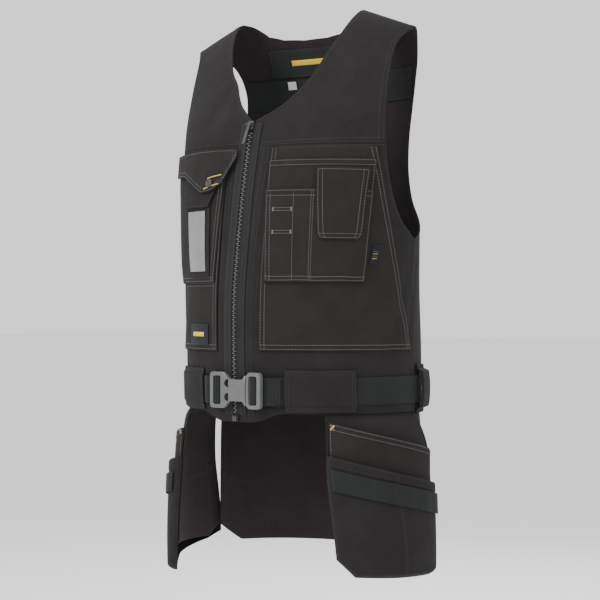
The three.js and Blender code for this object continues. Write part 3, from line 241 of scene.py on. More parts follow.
FLAP_RIGHT = np.array([
    (0.052, 0.372, 2.3), (0.125, 0.438, 3.7), (0.180, 0.458, 4.6), (0.245, 0.462, 4.6),
    (0.320, 0.440, 4.6), (0.420, 0.415, 4.0), (0.530, 0.411, 2.6), (0.640, 0.408, 2.3),
])
SNAP_PLACE = (0.190, 0.438)
SNAP_PROFILE = [(0, 1.1), (1.6, 1.1), (2.0, 0.7), (3.6, 0.7), (4.2, 1.9), (5.0, 2.3), (5.7, 2.0),
                (6.0, 1.2), (6.0, 0.0)]
FLAP_BARS = [((0.206, 0.4260), (0.128, 0.4165)), ((0.224, 0.4520), (0.140, 0.4390))]

# Holster hang: share down, front turn, rear turn, front lift, rear lift
HOLSTER_HANG = np.array([
    (-0.08, 43.0, 96.0, -1.3, -1.3),
    (0.005, 43.0, 96.5, -1.3, -1.3),
    (0.070, 43.2, 98.0, 1.8, 4.5),
    (0.245, 43.4, 100.0, 4.2, 10.0),
    (0.430, 43.6, 100.5, 5.8, 10.6),
    (0.675, 45.5, 102.5, 7.2, 10.2),
    (0.910, 47.3, 104.0, 8.0, 9.8),
    (1.120, 48.0, 104.0, 8.0, 9.8),
])
BACKING_BOTTOM = [(0, 0.915), (12, 0.985), (50, 0.995), (85, 1.0), (100, 0.895)]
POUCH_BOTTOM = {
    1: [(0, 0.950), (14, 1.070), (50, 1.090), (85, 1.10), (100, 1.085)],
    -1: [(0, 1.05), (7, 1.14), (13, 1.17), (22, 1.12), (35, 1.075), (60, 1.05), (85, 1.02), (100, 0.97)],
}
HOLSTER_BAG_SEAM = [(0.02, 0.235), (0.30, 0.335), (0.42, 0.40), (0.60, 0.42), (0.98, 0.43)]
HOLSTER_MOUTH = {1: (0.052, 0.262), -1: (0.140, 0.330)}
POUCH_MOUTH = {1: (0.27, 0.49), -1: (0.35, 0.55)}
STRIP_TOP = {1: (0.352, 0.560), -1: (0.450, 0.620)}
REAR_LIFTS = np.array([(-0.08, -1.3), (0.005, -1.3), (0.080, -0.6), (0.300, 0.2), (1.100, 1.0)])
REAR_TURN = 98.5
REAR_CHAMFER_TURN = 113.0
REAR_CORNER_DOWN = 0.905
REAR_BOTTOM_DOWN = 1.035
REAR_POCKET_TURN = 115.0


# Interpolation
def lerp(a, b, t):
    return a + (b - a) * t


def smoothstep(t):
    s = np.clip(t, 0, 1)
    return s * s * (3 - 2 * s)


def column(table, k, at):
    """A smooth curve through one column of a table, read by its first column."""
    x, y = table[:, 0], table[:, k]
    slope = np.empty_like(y)
    slope[1:-1] = (y[2:] - y[:-2]) / (x[2:] - x[:-2])
    slope[0] = (y[1] - y[0]) / (x[1] - x[0])
    slope[-1] = (y[-1] - y[-2]) / (x[-1] - x[-2])
    c = np.clip(at, x[0], x[-1])
    i = np.clip(np.searchsorted(x, c) - 1, 0, len(x) - 2)
    span = x[i + 1] - x[i]
    t = (c - x[i]) / span
    t2, t3 = t * t, t * t * t
    return ((2 * t3 - 3 * t2 + 1) * y[i] + (t3 - 2 * t2 + t) * span * slope[i]
            + (3 * t2 - 2 * t3) * y[i + 1] + (t3 - t2) * span * slope[i + 1])


def path(points):
    """Straight runs through points, read by shares from 0 to 1."""
    pts = np.array(points, float)
    share = np.linspace(0, 1, len(pts))
    return lambda t: (np.interp(t, share, pts[:, 0]), np.interp(t, share, pts[:, 1]))


def bend(points):
    """A smooth path through points."""
    pts = np.array(points, float)
    pts = np.vstack([2 * pts[0] - pts[1], pts, 2 * pts[-1] - pts[-2]])
    spans = len(pts) - 3

    def at(t):
        s = np.clip(np.asarray(t, float), 0, 1) * spans
        i = np.minimum(s.astype(int), spans - 1)
        f = (s - i)[..., None]
        p0, p1, p2, p3 = (pts[i + k] for k in range(4))
        p = 0.5 * (2 * p1 + (p2 - p0) * f + (2 * p0 - 5 * p1 + 4 * p2 - p3) * f ** 2
                   + (3 * p1 - 3 * p2 + p3 - p0) * f ** 3)
        return p[..., 0], p[..., 1]
    return at


def chain(first, second, share):
    """Two paths end to end, the first for a share of the way."""
    def at(t):
        t = np.asarray(t, float)
        a = first(np.clip(t / share, 0, 1))
        b = second(np.clip((t - share) / (1 - share), 0, 1))
        return tuple(np.where(t <= share, a[k], b[k]) for k in range(2))
    return at


def patch(bottom, top, inner, outer):
    """A patch between four edge paths."""
    def at(u, v):
        b, t, i, o = bottom(u), top(u), inner(v), outer(v)
        c = [bottom(0.0), bottom(1.0), top(0.0), top(1.0)]
        return tuple(
            lerp(b[k], t[k], v) + lerp(i[k], o[k], u)
            - lerp(lerp(c[0][k], c[1][k], u), lerp(c[2][k], c[3][k], u), v) for k in range(2))
    return at


# The body as a surface
def section(z):
    """Half width, front depth, back depth and squareness of the body at a height."""
    drop = -z / BODY_LENGTH
    return (column(SECTIONS, 1, drop) * CHEST_HALF_WIDTH, column(SECTIONS, 2, drop) * FRONT_DEPTH,
            column(SECTIONS, 3, drop) * BACK_DEPTH, column(SECTIONS, 4, drop))


def ridge(x):
    """The height of the shoulder line."""
    return SHOULDER_DROP / (SHOULDER_HALF_WIDTH - NECK_HALF_WIDTH) * (NECK_HALF_WIDTH - np.abs(x))


def fold_depth(x, y, z):
    face = np.degrees(np.arctan2(x, -y)) % 360
    reach = np.hypot(x, y) * math.pi / 180
    depth = np.zeros_like(x)
    for start, drop, end, low, width, deep in FOLDS:
        away = (face - start + 540) % 360 - 180
        run = (end - start) * reach, (drop - low) * BODY_LENGTH
        size = run[0] ** 2 + run[1] ** 2
        along = (away * reach * run[0] + (z + drop * BODY_LENGTH) * run[1]) / size
        aside = np.abs(away * reach * run[1] - (z + drop * BODY_LENGTH) * run[0]) / np.sqrt(size) / width
        depth += deep * smoothstep(along * 3 + 0.5) * smoothstep(3.5 - along * 3) * np.exp(-aside ** 2)
    return depth


def folded(x, y, z):
    depth = fold_depth(x, y, z)
    reach = np.maximum(np.hypot(x, y), 1e-6)
    return np.stack([x + depth * x / reach, y + depth * y / reach, z], -1)


def on_body(turn, z):
    """The body below the shoulders, by turn round it and height."""
    turn, z = np.broadcast_arrays(np.asarray(turn, float), np.asarray(z, float))
    width, front, back, square = section(z)
    sine, cosine = np.sin(np.radians(turn)), np.cos(np.radians(turn))
    x = width * np.sign(sine) * np.abs(sine) ** (2 / square)
    rise = (z + CLOSING_DROP) / (ridge(x) + CLOSING_DROP)
    closing = np.where(rise > 0, np.sqrt(np.clip(1 - rise * rise, 0, 1)), 1)
    depth = np.where(cosine >= 0, front, back)
    return folded(x, -np.sign(cosine) * depth * np.abs(cosine) ** (2 / square) * closing, z)


def on_shoulder(x, angle):
    """The body over the shoulders, by place across and angle from front to back."""
    x, angle = np.broadcast_arrays(np.asarray(x, float), np.asarray(angle, float))
    turn = np.radians(angle)
    swing = np.clip(turn, 0, math.pi)
    below = np.minimum(0, turn) + np.minimum(0, math.pi - turn)
    z = (ridge(x) + CLOSING_DROP) * (np.sin(swing) + below) - CLOSING_DROP
    width, front, back, square = section(z)
    edge = np.clip(1 - np.minimum(1, np.abs(x) / width) ** square, 0, 1) ** (1 / square)
    cosine = np.cos(swing)
    depth = np.where(cosine >= 0, front, back)
    return folded(x, -depth * edge * cosine, z)


def shoulder_angle(x, z, behind):
    rise = (z + CLOSING_DROP) / (ridge(x) + CLOSING_DROP)
    angle = np.degrees(np.where(rise < 0, rise, np.arcsin(np.clip(rise, 0, 1))))
    return 180 - angle if behind else angle


ARC_STEP = 5.0
ARC_Z = np.arange(-820, 21, ARC_STEP)
ARC_TURN = np.arange(0, 181, 1.0)


def arc_table():
    """Lengths round the body from the middle of the front, for each height and turn."""
    turn, z = np.meshgrid(ARC_TURN, ARC_Z)
    width, front, back, square = section(z)
    sine, cosine = np.sin(np.radians(turn)), np.cos(np.radians(turn))
    x = width * np.abs(sine) ** (2 / square)
    depth = np.where(cosine >= 0, front, back)
    y = -np.sign(cosine) * depth * np.abs(cosine) ** (2 / square)
    steps = np.hypot(np.diff(x, axis=1), np.diff(y, axis=1))
    return np.concatenate([np.zeros((len(ARC_Z), 1)), np.cumsum(steps, axis=1)], axis=1)


ARCS = arc_table()


def arc_to(turn, z):
    row = np.clip((np.asarray(z, float) - ARC_Z[0]) / ARC_STEP, 0, len(ARC_Z) - 1.001)
    col = np.clip(np.abs(turn), 0, 179.999)
    i, j = row.astype(int), np.asarray(col).astype(int)
    f, g = row - i, col - j
    return lerp(lerp(ARCS[i, j], ARCS[i, j + 1], g), lerp(ARCS[i + 1, j], ARCS[i + 1, j + 1], g), f)


def turn_at(length, z):
    """The turn that a length round the body reaches."""
    length, z = np.broadcast_arrays(np.asarray(length, float), np.asarray(z, float))
    low, high = np.zeros(length.shape), np.full(length.shape, 180.0)
    for _ in range(22):
        middle = (low + high) / 2
        short = arc_to(middle, z) < np.abs(length)
        low, high = np.where(short, middle, low), np.where(short, high, middle)
    return np.sign(length) * (low + high) / 2


def on_cloth(length, z):
    return on_body(turn_at(length, z), z)


def on_front(share, z):
    """The front, by a share of the way from its middle to the side seam."""
    return on_cloth(share * arc_to(SIDE_SEAM_TURN, z), z)


def outward(surface, a, b):
    """The direction straight out of a surface."""
    across = surface(a + 0.2, b) - surface(a - 0.2, b)
    along = surface(a, b + 0.5) - surface(a, b - 0.5)
    normal = np.cross(across, along)
    normal /= np.maximum(np.linalg.norm(normal, axis=-1, keepdims=True), 1e-9)
    here = surface(a, b)
    middle = np.zeros_like(here)
    middle[..., 2] = np.minimum(here[..., 2], -CLOSING_DROP)
    flip = np.sum(normal * (here - middle), axis=-1, keepdims=True) < 0
    return np.where(flip, -normal, normal)


# The buckle's seat on the belt, and its directions out and right
BUCKLE_SEAT = on_cloth(np.array([BELT_SHIFT]), np.array([BELT_MIDDLE]))[0]
BUCKLE_OUT = outward(on_cloth, np.array([BELT_SHIFT]), np.array([BELT_MIDDLE]))[0] * (1, 1, 0)
BUCKLE_OUT /= np.linalg.norm(BUCKLE_OUT)
BUCKLE_RIGHT = np.cross([0, 0, 1.0], BUCKLE_OUT)


# Materials: scales of the noises, shares in the colour and depths in millimetres
BLOTCH_SCALE = 26.0
BLOTCH_SHARE = 0.45
WEAVE_SHARE = 0.20
WEAVE_DEPTH = 0.18
RIB_SHARE = 0.16
RIB_HEIGHT = 2.5
CREASE_SCALE = 34.0
CREASE_DEPTH = 4.0


class Shading:
    """Short words for the nodes of one material."""

    def __init__(self, name):
        self.material = bpy.data.materials.new(name)
        self.material.use_nodes = True
        self.nodes = self.material.node_tree.nodes
        self.link = self.material.node_tree.links.new
        self.shader = self.nodes["Principled BSDF"]
        self.place = self.node("ShaderNodeTexCoord").outputs["Object"]

    def feed(self, socket, value):
        """Sets a socket to a value, or links an output to it."""
        if isinstance(value, bpy.types.NodeSocket):
            self.link(value, socket)
        else:
            socket.default_value = value

    def node(self, kind, inputs=None, **settings):
        made = self.nodes.new(kind)
        for key, value in settings.items():
            setattr(made, key, value)
        for key, value in (inputs or {}).items():
            self.feed(made.inputs[key], value)
        return made

    def math(self, operation, *values):
        return self.node("ShaderNodeMath", dict(enumerate(values)), operation=operation).outputs[0]

    def plus(self, a, b):
        return self.math("ADD", a, b)

    def times(self, a, b):
        return self.math("MULTIPLY", a, b)

    def sine(self, a):
        return self.math("SINE", a)

    def noise(self, place, scale, detail, roughness=0.5, distortion=0.0):
        inputs = {"Vector": place, "Scale": scale, "Detail": detail, "Roughness": roughness,
                  "Distortion": distortion}
        return self.node("ShaderNodeTexNoise", inputs).outputs["Fac"]

    def streaks(self, uv, scale):
        """Uneven threads: a noise stretched along one way of the cloth."""
        stretched = self.node("ShaderNodeMapping", {"Vector": uv, "Scale": scale})
        return self.noise(stretched.outputs[0], 0.9, 3.0, 0.7)

    def bump(self, height, strength, distance, **more):
        inputs = {"Height": height, "Strength": strength, "Distance": distance * MM, **more}
        return self.node("ShaderNodeBump", inputs).outputs[0]

    def mix(self, factor, dark, light):
        inputs = {"Factor": factor, 6: (*dark, 1), 7: (*light, 1)}
        return self.node("ShaderNodeMix", inputs, data_type="RGBA").outputs[2]

    def finish(self, inputs):
        for key, value in inputs.items():
            self.feed(self.shader.inputs[key], value)
        return self.material


def cloth_material(name, base, light, pitch=0.9, ribs=0.0, rough=0.92, sheen=0.02, crease=0.55, slub=0.5):
    """Woven cloth: threads at a pitch in millimetres, soft blotches, creases, and ribs if asked."""
    made = Shading(name)
    plus, times, sine = made.plus, made.times, made.sine
    uv = made.node("ShaderNodeUVMap", uv_map="cloth").outputs[0]
    split = made.node("ShaderNodeSeparateXYZ", {0: uv})
    u, v = (times(split.outputs[k], FULL_TURN / pitch) for k in range(2))
    twill = sine(plus(u, times(v, 0.5)))
    weave = plus(times(sine(u), sine(v)), times(twill, 0.6))
    blotch = made.noise(made.place, BLOTCH_SCALE, 4.0, 0.6)
    heather = plus(made.streaks(uv, (2.2, 0.25, 1.0)), made.streaks(uv, (0.25, 2.2, 1.0)))
    factor = plus(times(heather, 0.5 * slub), times(blotch, BLOTCH_SHARE))
    factor = plus(made.math("SUBTRACT", factor, 0.12 + 0.25 * slub), times(weave, WEAVE_SHARE))
    height = weave
    if ribs:
        bands = sine(times(split.outputs[0], FULL_TURN / ribs))
        factor = plus(factor, times(bands, RIB_SHARE))
        height = plus(weave, times(bands, RIB_HEIGHT))
    clamp = made.node("ShaderNodeClamp", {0: factor})
    wrinkle = made.noise(made.place, CREASE_SCALE, 5.0, 0.55, 0.8)
    creases = made.bump(wrinkle, crease, CREASE_DEPTH)
    return made.finish({
        "Base Color": made.mix(clamp.outputs[0], base, light), "Roughness": rough,
        "Sheen Weight": sheen, "Sheen Roughness": 0.5, "Specular IOR Level": 0.10,
        "Normal": made.bump(height, 0.35, WEAVE_DEPTH, Normal=creases)})


def plain_material(name, base, light, rough, metallic=0.0, grain=260.0, bump=0.12, spec=0.5):
    """Moulded plastic, metal or thread: a fine grain in colour, roughness and height."""
    made = Shading(name)
    fine = made.noise(made.place, grain, 5.0, 0.6)
    wide = made.noise(made.place, grain * 0.12, 3.0)
    factor = made.plus(made.times(fine, 0.5), made.times(wide, 0.5))
    return made.finish({
        "Base Color": made.mix(factor, base, light),
        "Roughness": made.plus(made.times(wide, 0.2), rough - 0.1),
        "Metallic": metallic, "Coat Weight": 0.0, "Specular IOR Level": spec,
        "Normal": made.bump(fine, bump, 0.3)})


def window_material():
    """Clear film with a slight haze and ripple."""
    made = Shading("clear_film")
    haze = made.noise(made.place, 40.0, 4.0)
    ripple = made.noise(made.place, 55.0, 2.0)
    return made.finish({
        "Base Color": made.mix(haze, (0.16, 0.165, 0.165), (0.34, 0.35, 0.35)),
        "Roughness": made.plus(made.times(haze, 0.16), 0.08), "Alpha": 0.62,
        "Coat Weight": 0.6, "Coat Roughness": 0.06, "Normal": made.bump(ripple, 0.2, 1.0)})


SATIN = {"pitch": 0.6, "rough": 0.6, "sheen": 0.05, "crease": 0.05, "slub": 0.2}
LOOKS = {
    "canvas": cloth_material("canvas", (0.0105, 0.0097, 0.0095), (0.0320, 0.0298, 0.0290)),
    "overlay": cloth_material("overlay", (0.0115, 0.0102, 0.0099), (0.0350, 0.0318, 0.0306), pitch=1.1),
    "lining": cloth_material("lining", (0.0190, 0.0150, 0.0165), (0.0480, 0.0390, 0.0420)),
    "webbing": cloth_material("webbing", (0.0100, 0.0112, 0.0108), (0.0270, 0.0300, 0.0290), pitch=1.4,
                              ribs=2.6, rough=0.75, crease=0.12),
    "band": cloth_material("band", (0.0170, 0.0195, 0.0190), (0.0400, 0.0450, 0.0435), pitch=0.8,
                           rough=0.85, crease=0.2, slub=0.3),
    "tape": cloth_material("tape", (0.0090, 0.0092, 0.0095), (0.0220, 0.0225, 0.0230),
                           ribs=1.8, rough=0.8, sheen=0.1, crease=0.15),
    "label": cloth_material("label", (0.0070, 0.0080, 0.0130), (0.0150, 0.0170, 0.0260), **SATIN),
    "size_label": cloth_material("size_label", (0.55, 0.55, 0.53), (0.75, 0.75, 0.73), **SATIN),
    "yellow": cloth_material("yellow_label", (0.62, 0.43, 0.03), (0.80, 0.60, 0.08), **SATIN),
    "thread_grey": plain_material("thread_grey", (0.085, 0.082, 0.079), (0.20, 0.195, 0.19), 0.8, bump=0.3),
    "thread_dark": plain_material("thread_dark", (0.010, 0.010, 0.010), (0.036, 0.035, 0.035), 0.8, bump=0.3),
    "thread_yellow": plain_material("thread_yellow", (0.62, 0.36, 0.03), (0.85, 0.62, 0.12), 0.6, bump=0.3),
    "plastic": plain_material("buckle_plastic", (0.062, 0.063, 0.065), (0.125, 0.126, 0.129), 0.32,
                              grain=420.0, bump=0.10),
    "teeth": plain_material("zip_teeth", (0.030, 0.030, 0.032), (0.13, 0.13, 0.132), 0.25, grain=600.0,
                            bump=0.05, spec=0.7),
    "metal": plain_material("dark_metal", (0.020, 0.020, 0.021), (0.070, 0.070, 0.072), 0.45,
                            metallic=0.4, grain=380.0, bump=0.1),
    "window": window_material(),
}


# Mesh making
def add_object(name, data):
    made = bpy.data.objects.new(name, data)
    bpy.context.collection.objects.link(made)
    return made


def dress(made, look, body=BODY, replaced=None):
    """Gives a piece its material and body, and hides the node that it stands for."""
    made.data.materials.clear()
    made.data.materials.append(LOOKS[look])
    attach(made, body)
    if replaced:
        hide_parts(replaced)


def new_object(name, vertices, faces, look, uvs=None, smooth=True, replaced=None):
    mesh = bpy.data.meshes.new(name)
    mesh.from_pydata((np.asarray(vertices).reshape(-1, 3) * MM).tolist(), [], faces)
    if uvs is not None:
        layer = mesh.uv_layers.new(name="cloth")
        index = np.empty(len(mesh.loops), dtype=np.int32)
        mesh.loops.foreach_get("vertex_index", index)
        layer.data.foreach_set("uv", np.asarray(uvs)[index].astype(np.float32).ravel())
    mesh.validate()
    if smooth:
        mesh.polygons.foreach_set("use_smooth", [True] * len(mesh.polygons))
    mesh.update()
    made = add_object(name, mesh)
    dress(made, look, replaced=replaced)
    return made


def sheet_faces(columns, rows):
    """The faces of a sheet with two sides and four edges, for two grids of points."""
    under = (columns + 1) * (rows + 1)
    i, j = np.meshgrid(np.arange(columns), np.arange(rows))
    a = (j * (columns + 1) + i).ravel()
    top = np.stack([a, a + 1, a + columns + 2, a + columns + 1], 1)
    low = top[:, ::-1] + under
    k = np.arange(columns)
    front = np.stack([k + 1, k, k + under, k + 1 + under], 1)
    m = rows * (columns + 1) + np.arange(columns)
    back = np.stack([m, m + 1, m + 1 + under, m + under], 1)
    n = np.arange(rows) * (columns + 1)
    left = np.stack([n, n + columns + 1, n + columns + 1 + under, n + under], 1)
    r = n + columns
    right = np.stack([r + columns + 1, r, r + under, r + columns + 1 + under], 1)
    return np.concatenate([top, low, front, back, left, right]).tolist()


def slab(name, top, low, look, uv=None):
    """A thin solid between two grids of points."""
    rows, columns = top.shape[:2]
    uvs = None if uv is None else np.tile(np.stack(uv, -1).reshape(-1, 2), (2, 1))
    new_object(name, np.stack([top, low]), sheet_faces(columns - 1, rows - 1), look, uvs=uvs)


def stops(count, size, marks=()):
    """Shares along a side, close together at its ends and at marks given in millimetres."""
    near = [0, 0.5, EDGE_ROUNDING] + [m + d for m in marks for d in (-1.2, 0.2)]
    shares = [m / size for m in near] + [1 - m / size for m in near]
    shares += list(np.linspace(0, 1, count + 1))
    shares = np.unique(np.round([s for s in shares if 0 <= s <= 1], 5))
    keep = [shares[0]]
    for s in shares[1:-1]:
        if s - keep[-1] > LEAST_STEP / size:
            keep.append(s)
    return np.array(keep + [1.0])


def hem(edges, width, height):
    """The same hem along several edges."""
    return [(edge, width, height) for edge in edges.split()]


class Cloth:
    """A cloth on a surface. Its hems are bands along edges: edge, width and height in millimetres."""

    def __init__(self, name, look, surface, outline, lift, thick, hems=(), size=(40, 40), inside=None):
        self.surface, self.outline, self.lift = surface, outline, lift
        self.thick, self.hems = thick, hems
        self.measure()
        marks = sorted({h[1] for h in hems})
        us = stops(size[0], self.wide.mean(), marks)
        vs = stops(size[1], self.tall.mean(), marks)
        u, v = np.meshgrid(us, vs)
        points, normal, lift_here = self.middle(u, v)
        taper = self.taper(u, v)
        height = lift_here + thick / 2 + self.relief(u, v)
        top = points + normal * (height + thick * taper / 2)[..., None]
        low = points + normal * (lift_here + thick / 2 - thick * taper / 2)[..., None]
        run, climb = np.zeros(u.shape), np.zeros(u.shape)
        run[:, 1:] = np.cumsum(np.linalg.norm(np.diff(points, axis=1), axis=-1), 1)
        climb[1:] = np.cumsum(np.linalg.norm(np.diff(points, axis=0), axis=-1), 0)
        uv = np.stack([run - run[:, -1:] / 2, climb], -1).reshape(-1, 2)
        faces = sheet_faces(len(us) - 1, len(vs) - 1)
        across = points[0, 1] - points[0, 0]
        along = points[1, 0] - points[0, 0]
        if np.dot(np.cross(across, along), normal[0, 0]) < 0:
            faces = [f[::-1] for f in faces]
        self.object = new_object(name + "_cloth", np.stack([top, low]), faces, look, uvs=np.tile(uv, (2, 1)),
                                 replaced=name)
        if inside:
            self.object.data.materials.append(LOOKS[inside])
            count = (len(us) - 1) * (len(vs) - 1)
            index = [1 if count <= k < 2 * count else 0 for k in range(len(faces))]
            self.object.data.polygons.foreach_set("material_index", index)

    def measure(self):
        """Widths of rows, heights of columns and the area, in millimetres."""
        self.shares = np.linspace(0, 1, MEASURE_POINTS)
        points = self.surface(*self.outline(*np.meshgrid(self.shares, self.shares)))
        self.wide = np.linalg.norm(np.diff(points, axis=1), axis=-1).sum(1)
        self.tall = np.linalg.norm(np.diff(points, axis=0), axis=-1).sum(0)
        corner = np.cross(points[1:, 1:] - points[:-1, :-1], points[1:, :-1] - points[:-1, 1:])
        self.area = np.linalg.norm(corner, axis=-1).sum() / 2

    def middle(self, u, v):
        a, b = self.outline(u, v)
        lift = self.lift(a, b) if callable(self.lift) else np.full(np.shape(a), float(self.lift))
        return self.surface(a, b), outward(self.surface, a, b), lift

    def edge_distance(self, edge, u, v):
        wide = np.interp(v, self.shares, self.wide)
        tall = np.interp(u, self.shares, self.tall)
        return {"left": u * wide, "right": (1 - u) * wide, "bottom": v * tall, "top": (1 - v) * tall}[edge]

    def taper(self, u, v):
        """The share of the thickness left where the edge rounds off."""
        nearest = np.minimum.reduce([self.edge_distance(edge, u, v) for edge in EDGES.split()])
        return EDGE_THIN + (1 - EDGE_THIN) * np.sqrt(np.clip(nearest / EDGE_ROUNDING, 0, 1))

    def relief(self, u, v):
        """How far the hems stand above the cloth."""
        rise = np.zeros(np.shape(u))
        for edge, width, height in self.hems:
            distance = self.edge_distance(edge, u, v)
            rise = np.maximum(rise, height * smoothstep((width + HEM_STEP / 2 - distance) / HEM_STEP))
        return rise

    def spot(self, u, v, rise=0.0):
        """Points and normals on the outer face."""
        points, normal, lift = self.middle(u, v)
        height = lift + self.thick + self.relief(u, v) + rise
        return points + normal * height[..., None], normal

    def line(self, edge, inset, start=0.0, end=1.0, trim=0.0, count=160):
        """Shares along a line that runs beside an edge, inset by millimetres."""
        upright = edge in ("left", "right")
        first = edge in ("left", "bottom")
        length, breadth = (self.tall, self.wide) if upright else (self.wide, self.tall)
        whole = length[0 if first else -1]
        t = np.linspace(start + trim / whole, end - trim / whole, count)
        share = inset / np.interp(t, self.shares, breadth)
        share = share if first else 1 - share
        return (share, t) if upright else (t, share)


class SurfacePlace:
    """The outer face of a cloth, found by places on its surface instead of shares."""

    def __init__(self, cloth):
        self.cloth = cloth

    def spot(self, a, b, rise=0.0):
        normal = outward(self.cloth.surface, a, b)
        height = self.cloth.lift(a, b) + self.cloth.thick + HEM_RELIEF + rise
        return self.cloth.surface(a, b) + normal * height[..., None], normal


class InnerFace:
    """The inward face of a cloth, for stitches that show inside the vest."""

    def __init__(self, cloth):
        self.cloth = cloth

    def spot(self, u, v, rise=0.0):
        points, normal, lift = self.cloth.middle(u, v)
        return points + normal * (lift - rise)[..., None], -normal


# Stitches
def sew(cloth, line, colour, stitch=STITCH, gap=STITCH_GAP, radius=THREAD_RADIUS):
    """Stitches along a line of shares on a cloth."""
    u, v = np.broadcast_arrays(*[np.asarray(k, float) for k in line])
    points, normals = cloth.spot(u, v, -0.06)
    steps = np.linalg.norm(np.diff(points, axis=0), axis=1)
    run = np.concatenate([[0], np.cumsum(steps)])
    count = int(run[-1] / (stitch + gap))
    if count < 1:
        return
    starts = (np.arange(count) + 0.5) * run[-1] / count
    along = lambda s, rows: np.stack([np.interp(s, run, rows[:, k]) for k in range(3)], 1)
    ahead = along(np.minimum(starts + stitch / 2, run[-1]), points)
    behind = along(np.maximum(starts - stitch / 2, 0), points)
    THREADS[colour].append(((ahead + behind) / 2, ahead - behind, along(starts, normals),
                            np.full(count, radius)))


def seams(cloth, edges, insets, colour="dark", trim=None, face=None, **span):
    """Rows of stitches beside edges, at insets in millimetres, short of the corners by a trim."""
    trim = insets[0] if trim is None else trim
    for edge in edges.split():
        for inset in insets:
            sew(face or cloth, cloth.line(edge, inset, trim=trim, **span), colour)


def upright_row(cloth, share, low, high, count, colour="dark", **stitches):
    sew(cloth, (np.full(count, share), np.linspace(low, high, count)), colour, **stitches)


def level_row(cloth, share, left, right, count, colour="dark", **stitches):
    sew(cloth, (np.linspace(left, right, count), np.full(count, share)), colour, **stitches)


def bartack(cloth, start, end, width, colour, pitch=0.95, radius=0.42):
    """Dense zigzag stitches between two places given as shares."""
    ends = np.array([start, end], float)
    points, _ = cloth.spot(ends[:, 0], ends[:, 1], 0.05)
    run = points[1] - points[0]
    length = np.linalg.norm(run)
    count = max(4, int(length / pitch))
    t = (np.arange(count) + 0.5) / count
    centre, normal = cloth.spot(lerp(start[0], end[0], t), lerp(start[1], end[1], t), 0.05)
    across = np.cross(normal, run / length)
    slant = np.where(np.arange(count) % 2, 0.35, -0.35)[:, None] * run / length
    THREADS[colour].append((centre, (across + slant) * width, normal, np.full(count, radius)))


def make_threads():
    """One object for each colour of thread. A stitch is four rings, sunk into the cloth at its ends."""
    sides = THREAD_SIDES
    rings = [(-0.5, 0.45, -0.6), (-0.36, 1.0, 0.0), (0.36, 1.0, 0.0), (0.5, 0.45, -0.6)]
    quads = [[r * sides + k, r * sides + (k + 1) % sides, (r + 1) * sides + (k + 1) % sides,
              (r + 1) * sides + k] for r in range(3) for k in range(sides)]
    caps = [list(range(sides))[::-1], [3 * sides + k for k in range(sides)]]
    for colour, groups in THREADS.items():
        centre, run, normal, radius = (np.concatenate([g[k] for g in groups]) for k in range(4))
        length = np.linalg.norm(run, axis=1, keepdims=True)
        along = run / np.maximum(length, 1e-6)
        side = np.cross(along, normal)
        side /= np.maximum(np.linalg.norm(side, axis=1, keepdims=True), 1e-6)
        up = np.cross(side, along)
        vertices = []
        for station, swell, sink in rings:
            middle = centre + along * length * station + up * (sink * radius)[:, None]
            for k in range(sides):
                angle = k * FULL_TURN / sides
                out = side * math.cos(angle) + up * (0.75 * math.sin(angle))
                vertices.append(middle + out * (radius * swell)[:, None])
        base = np.arange(len(centre))[:, None, None] * (4 * sides)
        faces = [*(base + np.array(quads)).reshape(-1, 4).tolist(),
                 *(base + np.array(caps)).reshape(-1, sides).tolist()]
        new_object("stitching_" + colour, np.stack(vertices, 1), faces, "thread_" + colour)


# Front panels and yokes
def mirrored(side, flat):
    """An outline for the wearer's left, turned to the given side."""
    return lambda u, v: (side * flat(u, v)[0], flat(u, v)[1])


def hem_height(length):
    """The front hem, which dips beside the zip."""
    return -BODY_LENGTH - HEM_DIP * (1 - smoothstep((np.abs(length) - HEM_DIP_START) / HEM_DIP_RUN))


def front_panel(side):
    chest = -CHEST_SEAM_DROP + SEAM_LAP
    depth = ARMHOLE_DROP - CHEST_SEAM_DROP
    armhole = [(turn * SIDE_SEAM_TURN, chest - down * depth) for down, turn in FRONT_ARMHOLE]
    first = float(turn_at(ZIP_HALF_GAP, -BODY_LENGTH))

    def bottom(u):
        turn = lerp(first, SIDE_SEAM_TURN, np.asarray(u, float))
        return turn, hem_height(arc_to(turn, np.full(np.shape(turn), -BODY_LENGTH)))

    def top(u):
        return lerp(float(turn_at(ZIP_HALF_GAP, chest)), armhole[-1][0], np.asarray(u, float)), chest

    def inner(v):
        z = lerp(float(bottom(0.0)[1]), chest, np.asarray(v, float))
        return turn_at(ZIP_HALF_GAP, z), z

    outer = chain(path([(SIDE_SEAM_TURN, -BODY_LENGTH), armhole[0]]), bend(armhole), 0.5)
    outline = mirrored(side, patch(bottom, top, inner, outer))
    hems = [("left", 23, 0.45), ("bottom", 12, 0.4), ("right", 7, 0.35)]
    cloth = Cloth("front_panel_" + HANDS[side], "canvas", on_body, outline, 0.0, SHELL, size=(80, 92),
                  inside="lining", hems=hems)
    seams(cloth, "left", (7.0, 15.5, 22.0), trim=4)
    seams(cloth, "bottom", (10.0,), trim=4)
    seams(cloth, "right", (5.5, 2.0), trim=2, start=0.5)
    seams(cloth, "top", (3.0,))


